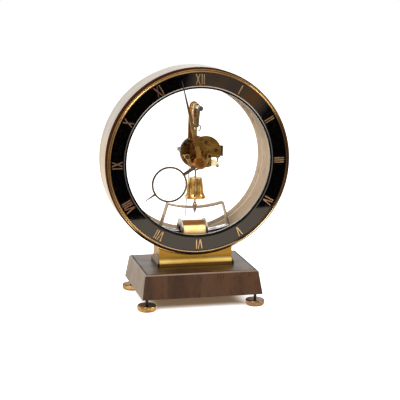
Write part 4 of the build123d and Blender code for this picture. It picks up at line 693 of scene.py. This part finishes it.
# %% Walnut base
BASE_TOP_X, BASE_TOP_Y, BASE_TOP_Z = 0.0636, 0.0459, 0.0409
LINE_IN, LINE_OUT, LINE_SOFT = -0.0022, -0.0001, 0.0002
FRONT_COAT, SIDE_COAT, TOP_COAT = 0.12, 0.8, 0.55
made = finishes["walnut"]
tree = made.node_tree
spot = node(tree, "ShaderNodeSeparateXYZ", {0: place_in(tree)}).outputs
past_x = maths(tree, "SUBTRACT", maths(tree, "ABSOLUTE", spot["X"]), BASE_TOP_X)
past_y = maths(tree, "SUBTRACT", maths(tree, "ABSOLUTE", spot["Y"]), BASE_TOP_Y)
from_edge = maths(tree, "MAXIMUM", past_x, past_y)
on_top = ramp(tree, spot["Z"], BASE_TOP_Z - 0.0016, BASE_TOP_Z - 0.0012)
dark_line = times(tree, band(tree, from_edge, LINE_IN, LINE_OUT, LINE_SOFT), on_top)
pale_edge = times(tree, ramp(tree, from_edge, LINE_OUT, LINE_SOFT), on_top)
# A paler band along the bevelled edge and a thin dark line just inside it.
repaint(made, times(tree, pale_edge, 0.75), (0.26, 0.165, 0.115))
repaint(made, dark_line, (0.004, 0.002, 0.002))
facing = node(tree, "ShaderNodeSeparateXYZ", {0: node(tree, "ShaderNodeTexCoord").outputs["Normal"]}).outputs
front_coat = ramp(tree, facing["Y"], -0.85, -0.5, FRONT_COAT, SIDE_COAT)
top_coat = ramp(tree, facing["Z"], 0.6, 0.9, SIDE_COAT, TOP_COAT)
coat = times(tree, maths(tree, "MINIMUM", front_coat, top_coat), ramp(tree, dark_line, 0.0, 1.0, 1.0, 0.0))
tree.links.new(coat, shader_of(made).inputs["Coat Weight"])
set_specular(made, 0.2)
print("base: top", 2 * BASE_TOP_X, "by", 2 * BASE_TOP_Y)

# %% [markdown]
# ## Hoop
# The hoop's front edge is dark and rounded, and a sun-bleached veneer covers its faces behind it.
# The dark edge is a little wider at the top than at the bottom. Low down and away from the right
# it lies in the shade of the bezel, and there it is nearly black.

# %% Hoop
EDGE_LOW, EDGE_HIGH = 0.155, 0.225
# How deep the dark edge goes and where the pale veneer is full, at the lower and the upper height.
DARK_TO, PALE_FROM = (-0.0196, -0.0176), (-0.0182, -0.0158)
made = finishes["hoop_veneer"]
tree = made.node_tree
height = height_in(tree)
bleached = shader_of(made).inputs["Base Color"].links[0].from_socket
dark_to = ramp(tree, height, EDGE_LOW, EDGE_HIGH, *DARK_TO)
pale_from = ramp(tree, height, EDGE_LOW, EDGE_HIGH, *PALE_FROM)
veneered = behind(tree, dark_to, pale_from)
figure = use(tree, veneer, unrolled(tree), Along=HOOP_GRAIN)["Figure"]
brown = blend(tree, figure, rgb(0.030, 0.008, 0.003), rgb(0.075, 0.022, 0.009))
under = times(tree, ramp(tree, height, SHADED_FROM, SHADED_TO), ramp(tree, side_in(tree), *LOW_RIGHT_X[::-1]))
brown = blend(tree, under, brown, rgb(0.006, 0.003, 0.002))
tree.links.new(blend(tree, veneered, brown, bleached), shader_of(made).inputs["Base Color"])
grade(made, "Coat Weight", veneered, 0.0, 0.85)
grade(made, "Specular IOR Level", veneered, 0.0, 0.5)
print("hoop: dark edge widens from height", EDGE_LOW, "to", EDGE_HIGH)

# %% [markdown]
# ## Mouldings and small fittings
# Bobbin, contact block and terminal arm are moulded, the cover is pressed fibre and the cell has
# a printed jacket without words. They share one plain recipe: two close tones in a fine even
# grain. The bobbin's flanges are dark low down, where little light reaches them.

# %% Mouldings and small fittings
FLANGE_DARK, FLANGE_PALE = 0.0850, 0.0890


def moulded(name, colour, tint, rough, scale=900.0, bump=0.01, metal_share=0.0):
    """A moulded, painted or pressed surface with a fine even grain."""
    made, tree, shader = plain_material(name)
    speck = use(tree, ageing, Scale=scale, Low=0.3, High=0.7)["Patches"]
    tree.links.new(blend(tree, speck, rgb(*colour), rgb(*tint)), shader.inputs["Base Color"])
    grade(made, "Roughness", speck, rough - 0.04, rough + 0.06)
    shader.inputs["Metallic"].default_value = metal_share
    emboss(tree, shader, speck, SOFT_RELIEF, bump)
    return made


# Two tones, roughness, scale of the grain, relief in mm, share of metal.
MOULDED = {
    "cover_fibre": ((0.045, 0.040, 0.036), (0.07, 0.062, 0.055), 0.72, 900.0, 0.04),
    "tray_plastic": ((0.10, 0.10, 0.10), (0.13, 0.13, 0.13), 0.5),
    "cell_jacket": ((0.25, 0.27, 0.31), (0.32, 0.34, 0.38), 0.3, 120.0, 0.005, 0.4),
    "black_plastic": ((0.030, 0.013, 0.008), (0.055, 0.026, 0.016), 0.45),
    "arm_plastic": ((0.58, 0.47, 0.22), (0.80, 0.72, 0.45), 0.32, 300.0),
    "bobbin_plastic": ((0.50, 0.42, 0.34), (0.74, 0.68, 0.60), 0.28, 300.0),
    "dark_cap": ((0.02, 0.02, 0.022), (0.05, 0.048, 0.05), 0.22, 400.0),
    "black_steel": ((0.015, 0.014, 0.014), (0.035, 0.032, 0.03), 0.4, 700.0, 0.02, 0.6),
}
for name, values in MOULDED.items():
    finishes[name] = moulded(name, *values)
set_specular(finishes["black_plastic"], 0.15)
set_specular(finishes["bobbin_plastic"], 0.25)
tree = finishes["bobbin_plastic"].node_tree
repaint(finishes["bobbin_plastic"], ramp(tree, height_in(tree), FLANGE_PALE, FLANGE_DARK), (0.045, 0.024, 0.014))
print("mouldings:", len(MOULDED))

# %% [markdown]
# ## Clear glass
# The disc behind the movement and the small disc in the hour hand are clear and thin. They add
# only a trace of reflection and dust, so their refraction is weak, and shadows and soft light go
# straight through them.

# %% Clear glass
def clear_glass(name, tint, index):
    """Smooth clear glass with a trace of tint."""
    made, tree, shader = plain_material(name)
    dust = use(tree, ageing, Scale=40.0, Low=0.3, High=0.8)["Patches"]
    tree.links.new(blend(tree, dust, WHITE, rgb(*tint)), shader.inputs["Base Color"])
    shader.inputs["Roughness"].default_value = 0.0
    shader.inputs["IOR"].default_value = index
    shader.inputs["Transmission Weight"].default_value = 1.0
    path = node(tree, "ShaderNodeLightPath").outputs
    lets_light = maths(tree, "MAXIMUM", path["Is Shadow Ray"], path["Is Diffuse Ray"])
    open_way = node(tree, "ShaderNodeBsdfTransparent", {"Color": rgb(0.97, 0.97, 0.97)})
    both = node(tree, "ShaderNodeMixShader", {0: lets_light, 1: shader.outputs[0], 2: open_way.outputs[0]})
    tree.links.new(both.outputs[0], tree.nodes["Material Output"].inputs["Surface"])
    return made


finishes["clear_glass"] = clear_glass("clear_glass", (0.998, 1.0, 0.999), 1.12)
finishes["hand_glass"] = clear_glass("hand_glass", (0.84, 0.84, 0.85), 1.25)
print("clear glass: 2")

# %% [markdown]
# ## Black glass
# The dial ring is glass painted black on its back, so its face is a deep black mirror. A polished
# bevel runs round the opening: a painted silver highlight lies on it at the top and the sides, and it is
# black low down. There the wall of the opening carries a painted pale highlight for the table's light instead.

# %% Black glass
WALL_DARK, WALL_FACE = 0.08202, 0.08208
BEVEL_IN, BEVEL_IN_FULL = 0.08395, 0.08415
BEVEL_OUT, BEVEL_OUT_FULL = 0.08495, 0.08510
GLINT_TOP_Z, GLINT_LOW_Z, LIT_WALL_Z = (0.185, 0.232), (0.092, 0.112), (0.112, 0.095)
made, tree, shader = plain_material("black_glass")
finishes["black_glass"] = made
height = height_in(tree)
off_wall = outside(tree, WALL_DARK, WALL_FACE)
beyond = outside(tree, BEVEL_OUT, BEVEL_OUT_FULL)
bevel = maths(tree, "SUBTRACT", outside(tree, BEVEL_IN, BEVEL_IN_FULL), beyond, clamp=True)
# Painted highlights: a silver line on the bevel high up, and a pale wall of the opening low down.
high = times(tree, ramp(tree, height, *GLINT_TOP_Z, 0.2, 1.0), ramp(tree, height, *GLINT_LOW_Z))
low = ramp(tree, height, *LIT_WALL_Z)
painted_bevel_glint = times(tree, bevel, high)
dust = use(tree, ageing, Scale=240.0, Low=0.35, High=0.8)["Patches"]
face = blend(tree, dust, rgb(0.0006, 0.0005, 0.0006), rgb(0.0026, 0.0020, 0.0016))
wall = blend(tree, low, rgb(0.012, 0.008, 0.006), rgb(0.62, 0.55, 0.48))
colour = blend(tree, painted_bevel_glint, blend(tree, off_wall, wall, face), rgb(0.36, 0.33, 0.30))
tree.links.new(colour, shader.inputs["Base Color"])
grade(made, "Roughness", dust, 0.03, 0.06)
dull = maths(tree, "SUBTRACT", times(tree, off_wall, invert(tree, beyond)), painted_bevel_glint, clamp=True)
grade(made, "Specular IOR Level", dull, 0.5, 0.08)
shader.inputs["IOR"].default_value = 1.75
print("finishes in all:", len(finishes))

# %% [markdown]
# ## Dress the solids
# Each solid keeps its shape and gets its finish by name. Most take the finish of their material
# slot. A few that share a slot look different on the real clock, so they are named one by one.

# %% Dress the solids
slot_of = {part["node"]: part["material_slot"] for part in frame["record"]["subparts"]}
own_finish = {"minute_hand": "minute_brass", "hand_nut": "hub_nut", "magnet_bar": "magnet_steel",
              "hour_hand_glass": "hand_glass", "carrier_studs": "steel", "movement_cup": "cup_brass",
              "suspension_strap": "strap_brass", "pendulum_hanger": "hanger_brass", "terminal_posts": "post_nickel",
              "pendulum_rod": "rod_steel", "feed_rod": "wire_steel", "contact_hook": "wire_steel",
              "terminal_arm": "arm_plastic", "coil_bobbin": "bobbin_plastic"}
for name, solid in solids.items():
    finish = finishes[own_finish.get(name, slot_of[name])]
    for held in solid.material_slots:
        held.material = finish
print("dressed:", len(solids))

# %% [markdown]
# ## Numerals
# The gold numerals are thin strokes laid on the glass. Each stroke is a low dome carried along
# a straight line: across it the height follows half an ellipse, and its ends taper off. A
# numeral is a list of strokes in a small upright frame, and the frame is turned round the dial
# with its top outwards. Lengths are in millimetres until the points are put in place.

# %% Numerals
FACE_DEPTH, FACE_GAP = -25.0, 0.02
FIGURE_FROM, FIGURE_TO = 85.4, 99.2
UPRIGHT, THICK, THIN, RISE = 1.5, 1.75, 1.3, 0.30
DIAL_TURN = -0.65
END_TAPER = 14


def mesh_object(name, points, faces, finish, body):
    """A smooth shaded piece from arrays of points and faces, riding on a body."""
    made = flat_mesh(name, points, [tuple(int(i) for i in f) for f in faces])
    made.data.polygons.foreach_set("use_smooth", [True] * len(made.data.polygons))
    made.data.materials.append(finish)
    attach(made, body)
    return made


def grid_faces(rows, columns, wrap_rows=False, wrap_columns=False):
    """Squares between the points of a grid, closed on itself where asked."""
    i = np.arange(rows if wrap_rows else rows - 1)
    j = np.arange(columns if wrap_columns else columns - 1)
    i, j = (a.ravel() for a in np.meshgrid(i, j, indexing="ij"))
    ii, jj = (i + 1) % rows, (j + 1) % columns
    return np.stack([i * columns + j, i * columns + jj, ii * columns + jj, ii * columns + j], axis=1)


def stroke(start, end, width, steps=9, sides=7):
    """Dome along a line: across it the height is the root of one less the square of the offset."""
    start, end = np.array(start, float), np.array(end, float)
    way = (end - start) / np.linalg.norm(end - start)
    side = np.array([-way[1], way[0]])
    t = np.linspace(0, 1, steps)[:, None]
    s = np.cos(np.linspace(0, np.pi, sides))[None, :]
    ends = np.clip(np.minimum(t, 1 - t) * END_TAPER, 0, 1) ** 0.5
    at = start + (end - start) * t[..., None] + side * (s * width / 2)[..., None]
    height = RISE * np.sqrt(1 - s ** 2) * ends
    return np.concatenate([at, height[..., None]], axis=2)


# Each letter is its width and its strokes: start and end across and up, and thickness.
GLYPHS = {"I": (2.4, [((1.2, 0), (1.2, 1), UPRIGHT)]),
          "V": (6.0, [((0.6, 1), (3.0, 0), THICK), ((5.4, 1), (3.0, 0), THIN)]),
          "X": (6.8, [((0.7, 1), (6.1, 0), THICK), ((6.1, 1), (0.7, 0), THIN)])}
NUMERALS = ("XII", "I", "II", "III", "IV", "V", "VI", "VII", "VIII", "IX", "X", "XI")


def numeral(text, hour):
    """All strokes of one numeral as points round the dial, in metres."""
    tall = FIGURE_TO - FIGURE_FROM
    wide = sum(GLYPHS[letter][0] for letter in text)
    angle = math.radians(30 * hour + DIAL_TURN)
    outward = np.array([math.sin(angle), math.cos(angle)])
    along = np.array([math.cos(angle), -math.sin(angle)])
    left, out = -wide / 2, []
    for letter in text:
        advance, strokes = GLYPHS[letter]
        for (x0, y0), (x1, y1), width in strokes:
            dome = stroke((left + x0, FIGURE_FROM + y0 * tall), (left + x1, FIGURE_FROM + y1 * tall), width)
            flat = dome[..., 0:1] * along + dome[..., 1:2] * outward
            deep = FACE_DEPTH + FACE_GAP - dome[..., 2]
            out.append(np.stack([flat[..., 0], deep, flat[..., 1] + DIAL_HEIGHT], axis=2) * MM)
        left += advance
    return out


points, faces, count = [], [], 0
for hour, text in enumerate(NUMERALS):
    for dome in numeral(text, hour):
        rows, columns = dome.shape[:2]
        points.append(dome.reshape(-1, 3))
        row = np.arange(rows - 1) * columns
        top = grid_faces(rows, columns)
        under = np.stack([row, row + columns, row + 2 * columns - 1, row + columns - 1], axis=1)
        faces += list(top[:, ::-1] + count) + list(under[:, ::-1] + count)
        faces += [np.arange(columns) + (rows - 1) * columns + count, np.arange(columns)[::-1] + count]
        count += rows * columns
mesh_object("numerals", np.concatenate(points), faces, finishes["numeral_gold"], "case")
print("numerals: strokes", len(points), "points", count)

# %% [markdown]
# ## The bezel
# The bezel's two beads are arcs of a circle in section, each 2.2 mm wide and 1.0 mm high. The
# solid has the same section in few facets, and a polished bead shows them, so the section is
# turned again round the dial's axis in fine steps.

# %% The bezel
def arc(start, end, rise, steps):
    """Points on an arc over a chord, in a section of radius and depth, bulging to the front."""
    half = (start[0] - end[0]) / 2
    radius = (half ** 2 + rise ** 2) / (2 * rise)
    reach = math.asin(half / radius) if rise <= half else math.pi - math.asin(half / radius)
    a = np.linspace(reach, -reach, steps)
    middle = (start[0] + end[0]) / 2
    return np.stack([middle + radius * np.sin(a), start[1] - rise + radius - radius * np.cos(a)], axis=1)


def lathe(section, steps):
    """A ring of points for each point of a section given as (radius, depth) in millimetres."""
    a = np.linspace(0, 2 * np.pi, steps, endpoint=False)[:, None]
    radius, depth = section[:, 0][None, :], section[:, 1][None, :]
    return np.stack([radius * np.sin(a), depth + 0 * a, DIAL_HEIGHT + radius * np.cos(a)], axis=2) * MM


BEZEL_OUT, BEZEL_LIP, BEAD_FOOT, BEAD_RISE = 104.2, 99.8, -25.3, 1.0
RING_SEAT, HOOP_FACE = 101.05, -22.4
BEAD_STEPS, RING_STEPS, SHARP_FROM = 22, 540, math.radians(35)
groove = (BEZEL_OUT + BEZEL_LIP) / 2
section = np.concatenate([
    [(RING_SEAT, HOOP_FACE), (BEZEL_OUT, HOOP_FACE)],
    arc((BEZEL_OUT, BEAD_FOOT), (groove, BEAD_FOOT), BEAD_RISE, BEAD_STEPS),
    arc((groove, BEAD_FOOT), (BEZEL_LIP, BEAD_FOOT), BEAD_RISE, BEAD_STEPS)[1:],
    [(BEZEL_LIP, FACE_DEPTH), (RING_SEAT, FACE_DEPTH)]])
ring = lathe(section, RING_STEPS)
faces = grid_faces(*ring.shape[:2], wrap_rows=True, wrap_columns=True)
beads = mesh_object("bezel_beads", ring.reshape(-1, 3), faces, finishes["bezel_brass"], "case")
beads.data.set_sharp_from_angle(angle=SHARP_FROM)
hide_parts("bezel")
print("bezel: faces", len(faces))

# %% [markdown]
# ## The coil's wire
# The coil is wound from thin lacquered wire. It is one line that turns round the bobbin and
# moves along it by its own thickness each turn. Both ends leave it at the back, one upwards and
# one downwards. A small ring of points is carried along that line.

# %% The coil's wire
COIL_DEPTH, COIL_HEIGHT = -6.5, 79.5
COIL_FROM, COIL_TO = -15.35, 10.35
WIRE, WIRE_CENTRE, WIRE_SIDES, STEPS_PER_TURN = 0.27, 12.50, 6, 40
LEAD = 1.1


def tube(line, radius, sides):
    """A round tube along a line: at each point a ring at right angles to the line's direction."""
    way = np.gradient(line, axis=0)
    way /= np.linalg.norm(way, axis=1)[:, None]
    first = np.cross(way, [1.0, 0.0, 0.0])
    first /= np.linalg.norm(first, axis=1)[:, None]
    second = np.cross(way, first)
    a = np.linspace(0, 2 * np.pi, sides, endpoint=False)
    ring = first[:, None] * np.cos(a)[None, :, None] + second[:, None] * np.sin(a)[None, :, None]
    return line[:, None] + ring * radius


turns = int((COIL_TO - COIL_FROM) / (2 * WIRE))
t = np.linspace(0, turns, turns * STEPS_PER_TURN + 1)
angle = -2 * np.pi * t
wound = np.stack([COIL_FROM + (COIL_TO - COIL_FROM) * t / turns, COIL_DEPTH + WIRE_CENTRE * np.cos(angle),
                  COIL_HEIGHT + WIRE_CENTRE * np.sin(angle)], axis=1)
lead_in = wound[0] + np.array([[0, 0, LEAD], [0, 0, LEAD / 2]])
lead_out = wound[-1] - np.array([[0, 0, LEAD / 2], [0, 0, LEAD]])
line = np.concatenate([lead_in, wound, lead_out])
ring = tube(line, WIRE, WIRE_SIDES) * MM
rows, columns = ring.shape[:2]
faces = list(grid_faces(rows, columns, wrap_columns=True))
faces += [np.arange(columns)[::-1], np.arange(columns) + (rows - 1) * columns]
winding = mesh_object("coil_fine_wire", ring.reshape(-1, 3), faces, finishes["coil_wire"], "case")
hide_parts("coil_winding")
print("coil: turns", turns, "faces", len(faces))
